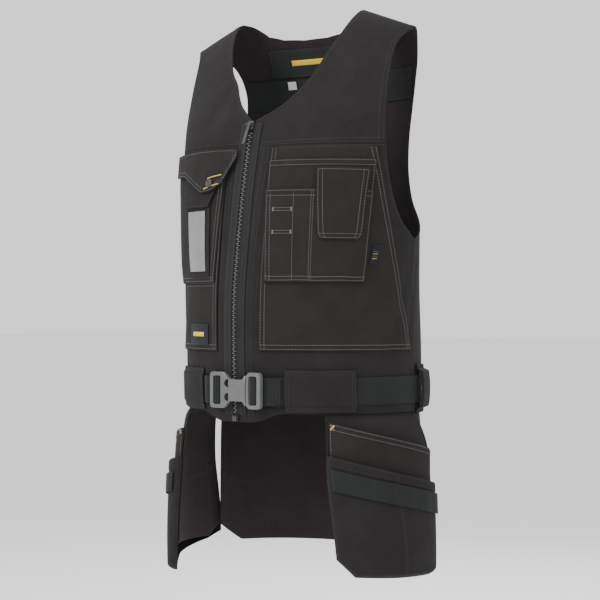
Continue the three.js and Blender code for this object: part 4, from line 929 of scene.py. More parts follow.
def front_yoke(side):
    low = -CHEST_SEAM_DROP - SEAM_LAP
    seam_angle = SHOULDER_SEAM_ANGLE + SEAM_LAP_TURN
    at = lambda x, z: (x, shoulder_angle(x, z, False))
    neck = [at(across * NECK_HALF_WIDTH, -down * FRONT_NECK_DROP) for down, across in NECK_EDGE[side]]
    armhole = [at(across * SHOULDER_HALF_WIDTH, down * low) for down, across in YOKE_ARMHOLE]
    zip_top = at(ZIP_HALF_GAP, -FRONT_NECK_DROP)
    tip = (SHOULDER_TIP * SHOULDER_HALF_WIDTH, seam_angle)
    neck_top = (NECK_HALF_WIDTH, seam_angle)

    def bottom(u):
        return at(lerp(ZIP_HALF_GAP, armhole[0][0], np.asarray(u, float)), low)

    zip_edge = path([tuple(float(k) for k in bottom(0.0)), zip_top])
    inner = chain(zip_edge, bend([zip_top, *neck, neck_top]), 0.2)
    outline = mirrored(side, patch(bottom, path([neck_top, tip]), inner, bend([*armhole, tip])))
    cloth = Cloth("front_yoke_" + HANDS[side], "canvas", on_shoulder, outline, 0.0, SHELL, size=(64, 84),
                  inside="lining", hems=YOKE_HEMS)
    seams(cloth, "left right", (2.0, 6.5))
    seams(cloth, "bottom", (1.8, 6.2), trim=3)
    seams(cloth, "top", (2.0,), trim=3)


# Back
def back_neck(x):
    share = np.minimum(1, np.abs(x) / NECK_HALF_WIDTH)
    return -BACK_NECK_DROP * np.sqrt(1 - share ** 2.4) * (1 - BACK_NECK_LEAN * x / NECK_HALF_WIDTH)


def back_yoke():
    low = -BACK_SEAM_DROP - SEAM_LAP
    front = SHOULDER_SEAM_ANGLE - SEAM_LAP_TURN
    at = lambda x, z: (float(x), float(shoulder_angle(x, z, True)))
    tip = SHOULDER_TIP * SHOULDER_HALF_WIDTH

    def side_edge(table):
        armhole = [at(across * SHOULDER_HALF_WIDTH, down * low) for down, across in table]
        return bend([*armhole, (tip, 92.0), (tip, front)])

    def neck_points(side):
        places = [side * share * NECK_HALF_WIDTH for share in BACK_NECK_STOPS]
        return [at(x, back_neck(x)) for x in places]

    seam = [*[(lerp(tip, NECK_HALF_WIDTH, t), front) for t in np.linspace(0, 1, 5)], (NECK_HALF_WIDTH, 90.0)]
    far_seam = [(-x, angle) for x, angle in seam]
    top_points = [*seam, *neck_points(1), at(0, back_neck(0)), *neck_points(-1)[::-1], *far_seam[::-1]]
    narrow = BACK_YOKE_ARMHOLE[0][1] * SHOULDER_HALF_WIDTH / tip
    bottom_points = [at(x * narrow, low) for x, _ in top_points]
    far_edge = mirrored(-1, lambda v, _: side_edge(BACK_YOKE_ARMHOLE_RIGHT)(v))
    outline = patch(path(bottom_points), path(top_points), side_edge(BACK_YOKE_ARMHOLE),
                    lambda v: far_edge(v, 0))
    cloth = Cloth("back_yoke", "canvas", on_shoulder, outline, 0.0, SHELL, size=(100, 50), inside="lining",
                  hems=YOKE_HEMS)
    seams(cloth, "left right", (2.0, 6.5))
    seams(cloth, "bottom", (2.0, 6.5), trim=3)
    seams(cloth, "top", (5.0,), trim=0, start=0.26, end=0.74, count=400)


def back_panel():
    high = -BACK_SEAM_DROP + SEAM_LAP
    depth = ARMHOLE_DROP - BACK_SEAM_DROP
    seam_turn = SIDE_SEAM_TURN - SEAM_LAP_TURN
    armhole = [(lerp(seam_turn, 180, turn), high - down * depth) for down, turn in BACK_ARMHOLE]
    low, start = (seam_turn, -BODY_LENGTH), armhole[-1]
    edge = chain(path([low, armhole[0]]), bend(armhole), 0.5)
    far = lambda v: (360 - edge(v)[0], edge(v)[1])
    outline = patch(path([low, (360 - low[0], low[1])]), path([start, (360 - start[0], start[1])]), edge, far)
    cloth = Cloth("back_panel", "canvas", on_body, outline, 0.0, SHELL, size=(108, 84), inside="lining",
                  hems=hem("left right", 7, 0.35) + hem("bottom", 12, 0.4))
    seams(cloth, "left right", (2.0, 5.5), start=0.5)
    seams(cloth, "bottom", (10.0,), trim=4, count=400)
    seams(cloth, "top", (2.5,), trim=3, count=300)


def back_place(left, right, low, high):
    """An outline inside the back yoke. Ends are pairs, low and high, in shares of half its width."""
    def outline(u, v):
        across = lerp(lerp(*left, v), lerp(*right, v), u) * SHOULDER_HALF_WIDTH
        return across, shoulder_angle(across, -lerp(low, high, v) * BACK_SEAM_DROP, True)
    return outline


def back_trim():
    step = TRIM + LAYER_GAP
    neck_place = back_place((-0.530, -0.517), (0.530, 0.517), 0.555, 0.245)
    neck = Cloth("neck_patch", "band", on_shoulder, neck_place, -NECK_PATCH_LAYER * step, TRIM, size=(60, 16))
    band_place = back_place((-0.745, -0.738), (0.780, 0.850), 0.925, 0.585)
    band = Cloth("back_band", "band", on_shoulder, band_place, -step, TRIM, size=(90, 14))
    label_place = back_place((-0.408, -0.408), (-0.337, -0.337), 0.692, 0.600)
    Cloth("size_label", "size_label", on_shoulder, label_place, -2 * step, TRIM, size=(8, 8))
    seams(neck, "left right bottom top", (2.5,), face=InnerFace(neck))
    seams(band, "top bottom", (2.0,), face=InnerFace(band))
    u, v = np.meshgrid(np.linspace(0, 1, 25), np.linspace(0, 1, 5))
    place = back_place((-0.340, -0.340), (-0.060, -0.060), 0.425, 0.365)(u, v)
    points, normal = on_shoulder(*place), outward(on_shoulder, *place)
    lift = -NECK_PATCH_LAYER * step
    slab("neck_patch_bar", points + normal * (lift - 0.05), points + normal * (lift - 0.5), "yellow",
         (u * 60, v * 8))


# Pieces sewn on the front
def layer_lift(layer):
    return SHELL + LAYER_GAP + layer * (POCKET_CLOTH + LAYER_GAP)


def slack_at(name, across, drop):
    """How far a full pocket stands out at a place on the front."""
    _, _, full, _, inner, outer, top, bottom = SEWN[name]
    down = (drop - top) / (bottom - top)
    low, high = lerp(inner[0], inner[1], down), lerp(outer[0], outer[1], down)
    u = np.clip((across - low) / (high - low), 0, 1)
    v = np.clip(down, 0, 1)
    return full * (1 - (2 * u - 1) ** 4) * (1 - (2 * v - 1) ** 4)


def sewn(name, look, size, hems=(), thick=POCKET_CLOTH, shape=None):
    side, layer, _, over, inner, outer, top, bottom = SEWN[name]

    def outline(u, v):
        drop = lerp(bottom, top, v)
        if shape is not None:
            u = shape(u, v)
        return side * lerp(lerp(inner[1], inner[0], v), lerp(outer[1], outer[0], v), u), -drop * BODY_LENGTH

    def lift(a, b):
        slack = [slack_at(other, np.abs(a), -b / BODY_LENGTH) for other in (name, *over)]
        return layer_lift(layer) + sum(slack)
    return Cloth(name, look, on_front, outline, lift, thick, hems=hems, size=size)


def patch_pocket(name):
    cloth = sewn(name, "overlay", (70, 90), hem("left bottom right", 9, 0.4))
    seams(cloth, "left bottom right", (2.4, 8.2), "grey")
    return cloth


def pen_pocket():
    pen = sewn("pen_pocket_left", "overlay", (60, 50), hem("top", 5, 0.6) + hem("bottom", 7, 0.3))
    seams(pen, "left right bottom", (2.2,), "grey")
    seams(pen, "bottom", (7.0,), "grey", trim=2)
    seams(pen, "top", (2.0, 9.0), "grey")
    seams(pen, "left", (8.0,), "grey", trim=2)
    for share in (0.288, 0.450, 0.470):
        upright_row(pen, share, 0.02, 0.98, 80, "grey")
    for v in PEN_LOOP_ROWS:
        for row in (v, v - 0.030):
            level_row(pen, row, *PEN_LOOP_ENDS, 40, "grey", stitch=2.2, gap=0.5)
        for share in PEN_LOOP_ENDS:
            bartack(pen, (share, v - 0.034), (share, v + 0.006), 2.6, "grey", pitch=0.7)


def phone_flap():
    def rounded(u, v):
        corner = np.clip(1 - v * 7.5, 0, 1)
        inset = (1 - np.sqrt(1 - corner ** 2)) * 0.11
        return lerp(inset, 1 - inset, u)
    flap = sewn("phone_flap_left", "overlay", (36, 52), hem("left right bottom", 8, 0.5) + hem("top", 5, 0.3),
                shape=rounded)
    seams(flap, "left bottom right", (2.4, 8.0), "grey")
    seams(flap, "top", (3.0,), "grey")


def pockets_left():
    seams(patch_pocket("patch_pocket_left"), "top", (2.5,), trim=3)
    tool_hems = hem("top", 9, 0.6) + hem("left right bottom", 6, 0.3)
    tool = sewn("tool_pocket_left", "overlay", (60, 60), tool_hems)
    seams(tool, "left right bottom", (2.2,), "grey")
    seams(tool, "top", (1.8, 8.4), "grey", trim=2)
    pen_pocket()
    phone_flap()
    tag = sewn("pocket_tag_left", "label", (8, 12), thick=TRIM)
    for v, colour in ((0.30, "yellow"), (0.42, "grey"), (0.54, "yellow"), (0.66, "grey")):
        bartack(tag, (0.2, v), (0.8, v), 1.2, colour, pitch=1.3, radius=0.3)


def pockets_right():
    pocket = patch_pocket("patch_pocket_right")
    for share in (0.335, 0.321):
        level_row(pocket, share, 0.03, 0.97, 160, "grey")
    chest = sewn("chest_pocket_right", "overlay", (60, 62), hem("left right bottom", 7, 0.4))
    seams(chest, "left right bottom", (2.2, 7.0), "grey")
    holder = sewn("badge_holder_right", "canvas", (24, 40), hem(EDGES, 5, 0.4))
    seams(holder, EDGES, (2.0,))
    sewn("badge_window_right", "window", (24, 40), thick=0.6)
    cover = sewn("badge_cover_right", "canvas", (30, 16), hem("bottom", 6, 0.4))
    seams(cover, "left right bottom", (2.2,))
    label = sewn("label_right", "label", (24, 12), thick=TRIM)
    seams(label, EDGES, (1.4,))
    u, v = np.meshgrid(np.linspace(0.2, 0.8, 17), np.linspace(0.42, 0.62, 5))
    face, normal = label.spot(u, v, 0.02)
    slab("label_right_bar", face + normal * 0.4, face, "yellow", (u * 50, v * 30))
    tab = sewn("webbing_tab_right", "webbing", (8, 12), thick=TRIM)
    seams(tab, "left right", (1.5,))


def flap_lift(across, drop):
    return layer_lift(column(FLAP_RIGHT, 2, across)) + slack_at("chest_pocket_right", across, drop)


def right_flap():
    edge = path(FLAP_RIGHT[:, :2])

    def outline(u, v):
        across, low = edge(u)
        return -across, -lerp(low, FLAP_TOP, v) * BODY_LENGTH
    lift = lambda a, b: flap_lift(np.abs(a), -b / BODY_LENGTH)
    flap = Cloth("flap_right", "overlay", on_front, outline, lift, POCKET_CLOTH, size=(70, 30),
                 hems=hem("left right bottom", 7, 0.5))
    seams(flap, "left right bottom", (2.2, 7.2), "grey")
    seams(flap, "top", (3.0,), "grey")
    for bar in FLAP_BARS:
        ends = [(-across, -drop * BODY_LENGTH) for across, drop in bar]
        bartack(SurfacePlace(flap), *ends, 1.5, "yellow", pitch=0.8)


def snap():
    """The flap's press stud, a turned profile of radius and height in millimetres."""
    across, drop = SNAP_PLACE
    place = np.array([-across]), np.array([-drop * BODY_LENGTH])
    axis = outward(on_front, *place)[0]
    height = flap_lift(np.array([across]), np.array([drop]))[0] + POCKET_CLOTH + LAYER_GAP - 0.2
    centre = on_front(*place)[0] + axis * height
    side = np.cross(axis, [0, 0, 1.0])
    side /= np.linalg.norm(side)
    up = np.cross(side, axis)
    sides, rings = 32, len(SNAP_PROFILE) - 1
    vertices = [centre + axis * SNAP_PROFILE[0][1]]
    for radius, rise in SNAP_PROFILE[1:]:
        for a in np.arange(sides) * FULL_TURN / sides:
            vertices.append(centre + axis * rise + radius * (side * math.cos(a) + up * math.sin(a)))
    vertices.append(centre)
    last, low = 1 + (rings - 1) * sides, len(vertices) - 1
    faces = []
    for k in range(sides):
        n = (k + 1) % sides
        faces += [[0, 1 + k, 1 + n], [low, last + n, last + k]]
        faces += [[a + k, a + sides + k, a + sides + n, a + n] for a in range(1, last, sides)]
    new_object("flap_snap", vertices, faces, "metal", replaced="flap_snap_right")


# Zip
def zip_frame(length, z):
    """Places on the zip's line, with the directions right, up and out there."""
    out = outward(on_cloth, length, z)
    up = on_cloth(length, z + 1) - on_cloth(length, z - 1)
    up /= np.linalg.norm(up, axis=1, keepdims=True)
    return on_cloth(length, z), np.cross(up, out), up, out


def zip_pieces():
    top = -FRONT_NECK_DROP - ZIP_TOP_GAP
    low = float(hem_height(0.0)) + ZIP_BOTTOM_GAP
    for side in HANDS:
        tape_place = lambda u, v: (side * (ZIP_HALF_GAP + TAPE_WIDTH * u), lerp(low, top - TAPE_TOP_GAP, v))
        tape = Cloth("zip_tape_" + HANDS[side], "tape", on_cloth, tape_place, SHELL + LAYER_GAP, TRIM,
                     size=(8, 110), hems=hem("left", 2.2, 0.7))
        seams(tape, "left", (4.6,), trim=2)
        seams(tape, "right", (2.0,))
    teeth(low + ZIP_TOP_GAP, top - SLIDER_SPACE)
    place, *ways = zip_frame(np.array([0.0]), np.array([low - END_BOX_DROP]))
    centre = place + ways[2] * (SHELL + TRIM + 2 * LAYER_GAP + END_BOX_SIZE[2] / 2)
    cubes("zip_end_box", centre, ways, END_BOX_SIZE, 0.8, "metal", "zip_box")


def cubes(name, centres, ways, sizes, taper, look, replaced):
    """Small blocks with narrowed tops, in one object. ways are the directions right, up and out."""
    right, up, out = ways
    vertices = []
    for z in (-1, 1):
        shrink = taper if z > 0 else 1.0
        for x, y in ((-1, -1), (1, -1), (1, 1), (-1, 1)):
            vertices.append(centres + right * (x * shrink * sizes[0] / 2) + up * (y * shrink * sizes[1] / 2)
                            + out * (z * sizes[2] / 2))
    quads = np.array([(0, 3, 2, 1), (4, 5, 6, 7), (0, 1, 5, 4), (1, 2, 6, 5), (2, 3, 7, 6), (3, 0, 4, 7)])
    faces = (np.arange(len(centres))[:, None, None] * 8 + quads).reshape(-1, 4).tolist()
    made = new_object(name, np.stack(vertices, 1), faces, look, smooth=False, replaced=replaced)
    bevel = made.modifiers.new("edges", "BEVEL")
    bevel.width = 0.25 * MM
    bevel.segments = 2


def teeth(low, high):
    count = int((high - low) / TOOTH_PITCH)
    z = low + (np.arange(count) + 0.5) * TOOTH_PITCH
    side = np.where(np.arange(count) % 2, 1.0, -1.0)
    place, *ways = zip_frame(side * TOOTH_REACH, z)
    cubes("zip_teeth", place + ways[2] * TOOTH_RISE, ways, TOOTH_SIZE, 0.7, "teeth", "zip_chain")
    spine(np.linspace(low - 2, high + 11, 90))


def spine(z):
    """The two cords that the teeth grip, one solid strip behind them."""
    corners = [(-CORD_HALF, 1.2), (CORD_HALF, 1.2), (CORD_HALF, 2.6), (-CORD_HALF, 2.6)]
    rows = []
    for length, height in corners:
        s = np.full(len(z), length)
        rows.append(on_cloth(s, z) + outward(on_cloth, s, z) * height)
    last = 4 * (len(z) - 1)
    faces = [[k + c, k + (c + 1) % 4, k + 4 + (c + 1) % 4, k + 4 + c]
             for k in range(0, last, 4) for c in range(4)]
    faces += [[3, 2, 1, 0], [last, last + 1, last + 2, last + 3]]
    uv = np.stack([np.tile([length for length, _ in corners], len(z)), np.repeat(z, 4)], 1)
    new_object("zip_cords", np.stack(rows, 1), faces, "tape", uvs=uv)


def round_edges(made, voxel, rounds):
    """Rebuilds a mesh from small cells and smooths it, so that every edge is rounded."""
    remesh = made.modifiers.new("voxels", "REMESH")
    remesh.mode = "VOXEL"
    remesh.voxel_size = voxel * MM
    remesh.use_smooth_shade = True
    smooth = made.modifiers.new("soften", "SMOOTH")
    smooth.factor = 0.5
    smooth.iterations = rounds
    graph = bpy.context.evaluated_depsgraph_get()
    done = bpy.data.meshes.new_from_object(made.evaluated_get(graph))
    made.modifiers.clear()
    made.data = done
    done.polygons.foreach_set("use_smooth", [True] * len(done.polygons))


def soft_copy(node_name, body, voxel):
    """A copy of a hard node with its edges rounded."""
    made = add_object(node_name + "_soft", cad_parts[node_name].data.copy())
    round_edges(made, voxel, SLIDER_ROUNDS)
    dress(made, "metal", body, node_name)


# Belt
def webbing_lift(length, z):
    """The webbing runs flat behind the buckle, then down to the cloth before the tunnels."""
    away = np.abs(length - BELT_SHIFT)
    seat = BUCKLE_LIFT - LAYER_GAP - WEBBING
    place = on_cloth(length, z)
    normal = outward(on_cloth, length, z)
    flat = (seat - (place - BUCKLE_SEAT) @ BUCKLE_OUT) / (normal @ BUCKLE_OUT)
    clear = BUCKLE_HALF_LENGTH * WEBBING_FLAT_SHARE
    return lerp(flat, SHELL + LAYER_GAP, smoothstep((away - clear) / (TUNNEL_START - clear)))


def belt_place(side, start, end):
    half = WEBBING_WIDTH / 2
    return lambda u, v: (BELT_SHIFT + side * lerp(start, end, u), BELT_MIDDLE + lerp(-half, half, v))


def over_belt(name, surface, ends, rows, thick, size, hems):
    """A cloth over the belt. rows are its heights above the belt's middle and its lifts."""
    heights, lifts = np.array(rows, float).T
    outline = lambda u, v: (lerp(*ends, u), BELT_MIDDLE + lerp(heights[0], heights[-1], v))
    lift = lambda a, b: np.interp(b - BELT_MIDDLE, heights, lifts)
    return Cloth(name, "canvas", surface, outline, lift, thick, size=size, hems=hems)


def both_ways(rows):
    """The rows from the middle up, repeated downwards first."""
    return [(-height, lift) for height, lift in rows[::-1] if height] + rows


def belt():
    start = WEBBING_START_SHARE * BUCKLE_HALF_LENGTH
    end = float(arc_to(LOOP_TURN + LOOP_SPAN * WEBBING_END_SHARE, np.array(BELT_MIDDLE)))
    low = SHELL + LAYER_GAP
    high = low + WEBBING + LAYER_GAP
    inner = WEBBING_WIDTH / 2 + LAYER_GAP
    tunnel_rows = both_ways([(inner, high), (inner + 3, low + 0.5), (TUNNEL_HEIGHT / 2, low)])
    edge = LOOP_HEIGHT / 2
    crown = LOOP_LIFT + LOOP_CLOTH / 2
    loop_rows = both_ways([(0, crown), (edge / 2, crown - 0.3), (edge - LOOP_CLOTH, LOOP_LIFT - 0.5),
                           (edge, low + 0.5), (edge + 2 * LOOP_CLOTH, low)])
    for side, hand in HANDS.items():
        Cloth("belt_webbing_" + hand, "webbing", on_cloth, belt_place(side, start, end),
              webbing_lift, WEBBING, size=(120, 10))
        ends = [BELT_SHIFT + side * TUNNEL_START, BELT_SHIFT + side * (TUNNEL_START + TUNNEL_LENGTH)]
        tunnel = over_belt("belt_tunnel_" + hand, on_cloth, ends, tunnel_rows, POCKET_CLOTH, (50, 40),
                           hem("left right", 6, 0.4) + hem("top bottom", 6, 0.3))
        seams(tunnel, "left right top bottom", (2.0, 5.6))
        ends = [side * LOOP_TURN, side * (LOOP_TURN + LOOP_SPAN)]
        loop = over_belt("side_loop_" + hand, on_body, ends, loop_rows, LOOP_CLOTH, (16, 80),
                         hem("left right", 5, 0.5))
        seams(loop, "left right", (2.0, 5.0))
    lift = lambda a, b: webbing_lift(a, b) + WEBBING + LAYER_GAP
    tail = belt_place(1, *TAIL_SPAN)
    strap = Cloth("belt_tail_left", "webbing", on_cloth, tail, lift, WEBBING, size=(16, 12))
    seams(strap, "right", (2.0, 5.0))


# Buckle
def arc_points(cx, cy, radius, start, count=7):
    """A quarter turn from a start angle in degrees."""
    angle = np.radians(np.linspace(start, start + 90, count))
    return [(cx + radius * math.cos(a), cy + radius * math.sin(a)) for a in angle]


def rounded_rectangle(left, right, half, radius):
    x0, x1, y = left + radius, right - radius, half - radius
    return (arc_points(x1, -y, radius, -90) + arc_points(x1, y, radius, 0)
            + arc_points(x0, y, radius, 90) + arc_points(x0, -y, radius, 180))


def on_buckle(x, y, z):
    """Places from the buckle's own right, up and out to the vest."""
    x, y, z = (np.asarray(k)[..., None] for k in (x, y, z))
    return BUCKLE_SEAT + x * BUCKLE_RIGHT + y * np.array([0, 0, 1.0]) + z * BUCKLE_OUT


def moulded(name, outlines, shape, replaced):
    """A moulded plate with holes: its edges are rounded, then its height follows shape(x, y)."""
    curve = bpy.data.curves.new(name, "CURVE")
    curve.dimensions = "2D"
    curve.fill_mode = "BOTH"
    curve.extrude = BUCKLE_DEPTH / 2 * MM
    for outline in outlines:
        spline = curve.splines.new("POLY")
        spline.points.add(len(outline) - 1)
        for point, (x, y) in zip(spline.points, outline):
            point.co = (x * MM, y * MM, 0, 1)
        spline.use_cyclic_u = True
    source = add_object(name + "_outline", curve)
    graph = bpy.context.evaluated_depsgraph_get()
    mesh = bpy.data.meshes.new_from_object(source.evaluated_get(graph))
    bpy.data.objects.remove(source)
    made = add_object(name, mesh)
    round_edges(made, BUCKLE_CELL, BUCKLE_ROUNDS)
    points = np.empty(len(made.data.vertices) * 3, np.float32)
    made.data.vertices.foreach_get("co", points)
    x, y, z = points.reshape(-1, 3).astype(float).T / MM
    low, high = shape(x, y)
    placed = on_buckle(x, y, BUCKLE_LIFT + lerp(low, high, z / BUCKLE_DEPTH + 0.5))
    made.data.vertices.foreach_set("co", (placed * MM).astype(np.float32).ravel())
    made.data.update()
    dress(made, "plastic", replaced=replaced)


def female_half(end, tall, joint):
    """The longer half. Its body narrows to a waist and has two curved windows."""
    corner = FEMALE_CORNER
    waist_start = -end + WAIST_START
    across = np.linspace(waist_start, joint - 6, 14)
    drop = smoothstep((across - waist_start) / WAIST_RUN)
    waist = [(x, lerp(tall, WAIST_SHARE * tall, d)) for x, d in zip(across, drop)]
    outline = [*arc_points(-end + corner, -tall + corner, corner, 180), *[(x, -y) for x, y in waist],
               (joint - 2, -tall + 4), (joint, -tall + 5), (joint, tall - 5), (joint - 2, tall - 4),
               *waist[::-1], *arc_points(-end + corner, tall - corner, corner, 90)]
    angles = np.radians(np.linspace(0, 345, 24))
    window = [(WINDOW_PLACE[0] + WINDOW_RADII[0] * math.cos(a) + WINDOW_BULGE * math.sin(a) ** 2,
               WINDOW_PLACE[1] + WINDOW_RADII[1] * math.sin(a)) for a in angles]
    slot = rounded_rectangle(-end + SLOT_START, -end + SLOT_END, tall - SLOT_MARGIN, SLOT_CORNER)

    def shape(x, y):
        body = smoothstep((x + end - 17) / 9)
        crown = 1 - 0.42 * (np.abs(y) / tall) ** 2.2
        dish = 1.5 * np.exp(-((x + 12) / 11) ** 2) * np.exp(-(y / 15) ** 4)
        rim = 0.8 * np.exp(-((x - joint + 3) / 3.0) ** 2)
        return np.where(body > 0.5, 0.2, 0.8), lerp(6.6, 9.2 * crown, body) - dish * body + rim
    outlines = [outline, slot, window, [(x, -y) for x, y in window]]
    moulded("buckle_female_half", outlines, shape, "buckle_female")


def male_half(end, tall, joint):
    """The shorter half, a frame round one slot."""
    def shape(x, y):
        outer = smoothstep((x - joint - 8) / 8)
        crown = 1 - 0.22 * (np.abs(y) / tall) ** 2
        return np.full_like(x, 0.4), lerp(8.6 * crown, 7.4, outer) + 0.7 * np.exp(-((x - end + 3) / 2.6) ** 2)
    slot = rounded_rectangle(joint + 4.6, end - 6.5, tall - SLOT_MARGIN, SLOT_CORNER)
    outline = rounded_rectangle(joint + 0.5, end, tall, MALE_CORNER)
    moulded("buckle_male_half", [outline, slot], shape, "buckle_male")


def strap_roll(name, left, right):
    """The webbing that turns round the bar inside a slot of the buckle."""
    half = WEBBING_WIDTH / 2 - 0.6
    u, v = np.meshgrid(np.linspace(0, 1, 17), np.linspace(0, 1, 13))
    x, y = lerp(left, right, u), lerp(-half, half, v)
    z = BUCKLE_LIFT + 1.8 + 6.0 * np.sin(math.pi * u) ** 0.6
    slab(name, on_buckle(x, y, z), on_buckle(x, y, z - 1.6), "webbing", (u * 22, v * 38))


def buckle():
    end, tall = BUCKLE_HALF_LENGTH, BUCKLE_HALF_HEIGHT
    joint = JOINT_SHARE * end
    female_half(end, tall, joint)
    male_half(end, tall, joint)
    strap_roll("strap_roll_right", -end + SLOT_START - 0.5, -end + SLOT_END + 1.5)
    strap_roll("strap_roll_left", joint + 3.4, end - 6.0)
    bridge = 0.72 * tall
    x, y = np.meshgrid(np.linspace(joint - 3, joint + 5, 9), np.linspace(-bridge, bridge, 21))
    z = np.full(x.shape, BUCKLE_LIFT + 5.6)
    slab("buckle_tongue", on_buckle(x, y, z), on_buckle(x, y, z - 3), "plastic")


def skirt_height(down):
    return -BODY_LENGTH - down * SKIRT_LENGTH


def skirt_down(z):
    return (-z - BODY_LENGTH) / SKIRT_LENGTH


def holster_surface(side):
    """Places on a hanging holster: percent across it from front to rear, and height."""
    def at(percent, z):
        percent, z = np.broadcast_arrays(np.asarray(percent, float), np.asarray(z, float))
        front, rear, front_lift, rear_lift = (column(HOLSTER_HANG, k, skirt_down(z)) for k in range(1, 5))
        turn = side * lerp(front, rear, percent / 100)
        lift = lerp(front_lift, rear_lift, smoothstep(percent / 100)) * SHELL
        return on_body(turn, z) + outward(on_body, turn, z) * lift[..., None]
    return at


def gusset(percent):
    """How fully a pouch stands out, from none at its two sides."""
    return np.sqrt(np.clip(1 - np.abs(percent / 50 - 1) ** 6, 0, 1))


def pouch(name, look, surface, mouth, bottom, inset, full, hems, size, sag=0.0):
    def outline(u, v):
        share = np.asarray(u, float)
        percent = lerp(inset, 100 - inset, lerp(share, smoothstep(share), 0.35))
        high = skirt_height(lerp(*mouth, percent / 100))
        return percent, lerp(skirt_height(bottom(percent)), high, v)

    def lift(a, b):
        sides = gusset(np.clip((a - inset) / (100 - 2 * inset) * 100, 0, 100))
        above = b - skirt_height(bottom(a))
        closed = np.sqrt(np.clip(above / POUCH_SEAM, 0, 1))
        belly = sag * np.exp(-((above - 45) / 45) ** 2) * np.sin(math.pi * np.clip(a / 100, 0, 1)) ** 2
        return SHELL + LAYER_GAP + (full + belly) * sides * closed
    return Cloth(name, look, surface, outline, lift, POCKET_CLOTH, hems=hems, size=size)


def hanging_back(low):
    """A cloth that hangs from inside the hem down to a lower edge."""
    def outline(u, v):
        along, down = low(u)
        return along, lerp(skirt_height(down), -BODY_LENGTH + HEM_TUCK, v)
    return outline


def holster_back(hand, surface):
    back = Cloth("holster_back_" + hand, "canvas", surface, hanging_back(path(BACKING_BOTTOM)), 0.0, SHELL,
                 size=(60, 80), inside="lining", hems=hem("left right bottom", 7, 0.3))
    inside = InnerFace(back)
    for share in (0.80, 0.815):
        upright_row(inside, share, 0.03, 0.93, 160)
    u, v = bend(HOLSTER_BAG_SEAM)(np.linspace(0, 1, 160))
    for step in (0, 0.014):
        sew(inside, (u, v + step), "dark", radius=0.5)
    seams(back, "left right bottom", (5.0,), trim=3, face=inside)


def holster(side):
    hand, surface = HANDS[side], holster_surface(side)
    holster_back(hand, surface)
    inner = pouch("holster_pocket_" + hand, "overlay", surface, HOLSTER_MOUTH[side],
                  lambda at: np.full(np.shape(at), HOLSTER_POCKET_DOWN), HOLSTER_POCKET_INSET,
                  HOLSTER_FULLNESS, hem("top", 10, 0.6), (64, 60))
    seams(inner, "top", (2.0, 8.6), "grey", trim=3)
    seams(inner, "left", (3.0,), "grey", trim=2, start=0.5)
    bartack(inner, (0.025, 0.945), (0.065, 0.985), 3.2, "yellow")
    bartack(inner, (0.065, 0.945), (0.025, 0.985), 1.6, "grey")
    bartack(inner, (0.955, 0.945), (0.975, 0.985), 2.6, "grey")
    full = HOLSTER_FULLNESS + POCKET_CLOTH + LAYER_GAP + POUCH_FULLNESS
    outer = pouch("holster_pouch_" + hand, "canvas", surface, POUCH_MOUTH[side],
                  lambda at: np.interp(at, *np.array(POUCH_BOTTOM[side]).T), 0, full,
                  hem("top", 12, 0.7) + hem("bottom", 6, 0.3), (70, 60), sag=1.5)
    seams(outer, "top", (2.0, 11.0), trim=3)
    seams(outer, "left", (3.4,), trim=3)
    seams(outer, "bottom", (4.0,), trim=3)
    for share in (0.525, 0.537):
        upright_row(outer, share, 0.02, 0.97, 120)
    strip(side, surface, full)


def strip(side, surface, full):
    """The webbing across a pouch, sewn down between its tool loops."""
    def outline(u, v):
        percent = lerp(3.0, 97.0, u)
        high = skirt_height(lerp(*STRIP_TOP[side], percent / 100))
        return percent, high - STRIP_WIDTH * (1 - v)

    def lift(a, b):
        loops = 0.9 * np.abs(np.sin(a / 100 * STRIP_LOOPS * math.pi)) ** 0.6
        return SHELL + POCKET_CLOTH + 2 * LAYER_GAP + 0.3 + full * gusset(a) + loops
    cloth = Cloth("holster_strip_" + HANDS[side], "webbing", surface, outline, lift, WEBBING, size=(90, 14))
    for k in range(STRIP_LOOPS + 1):
        share = min(0.99, max(0.01, (100 * k / STRIP_LOOPS - 3) / 94))
        upright_row(cloth, share, 0.04, 0.96, 24, stitch=2.0, gap=0.6)


def rear_surface(turn, z):
    turn, z = np.broadcast_arrays(np.asarray(turn, float), np.asarray(z, float))
    lift = column(REAR_LIFTS, 1, skirt_down(z)) * SHELL
    return on_body(turn, z) + outward(on_body, turn, z) * lift[..., None]


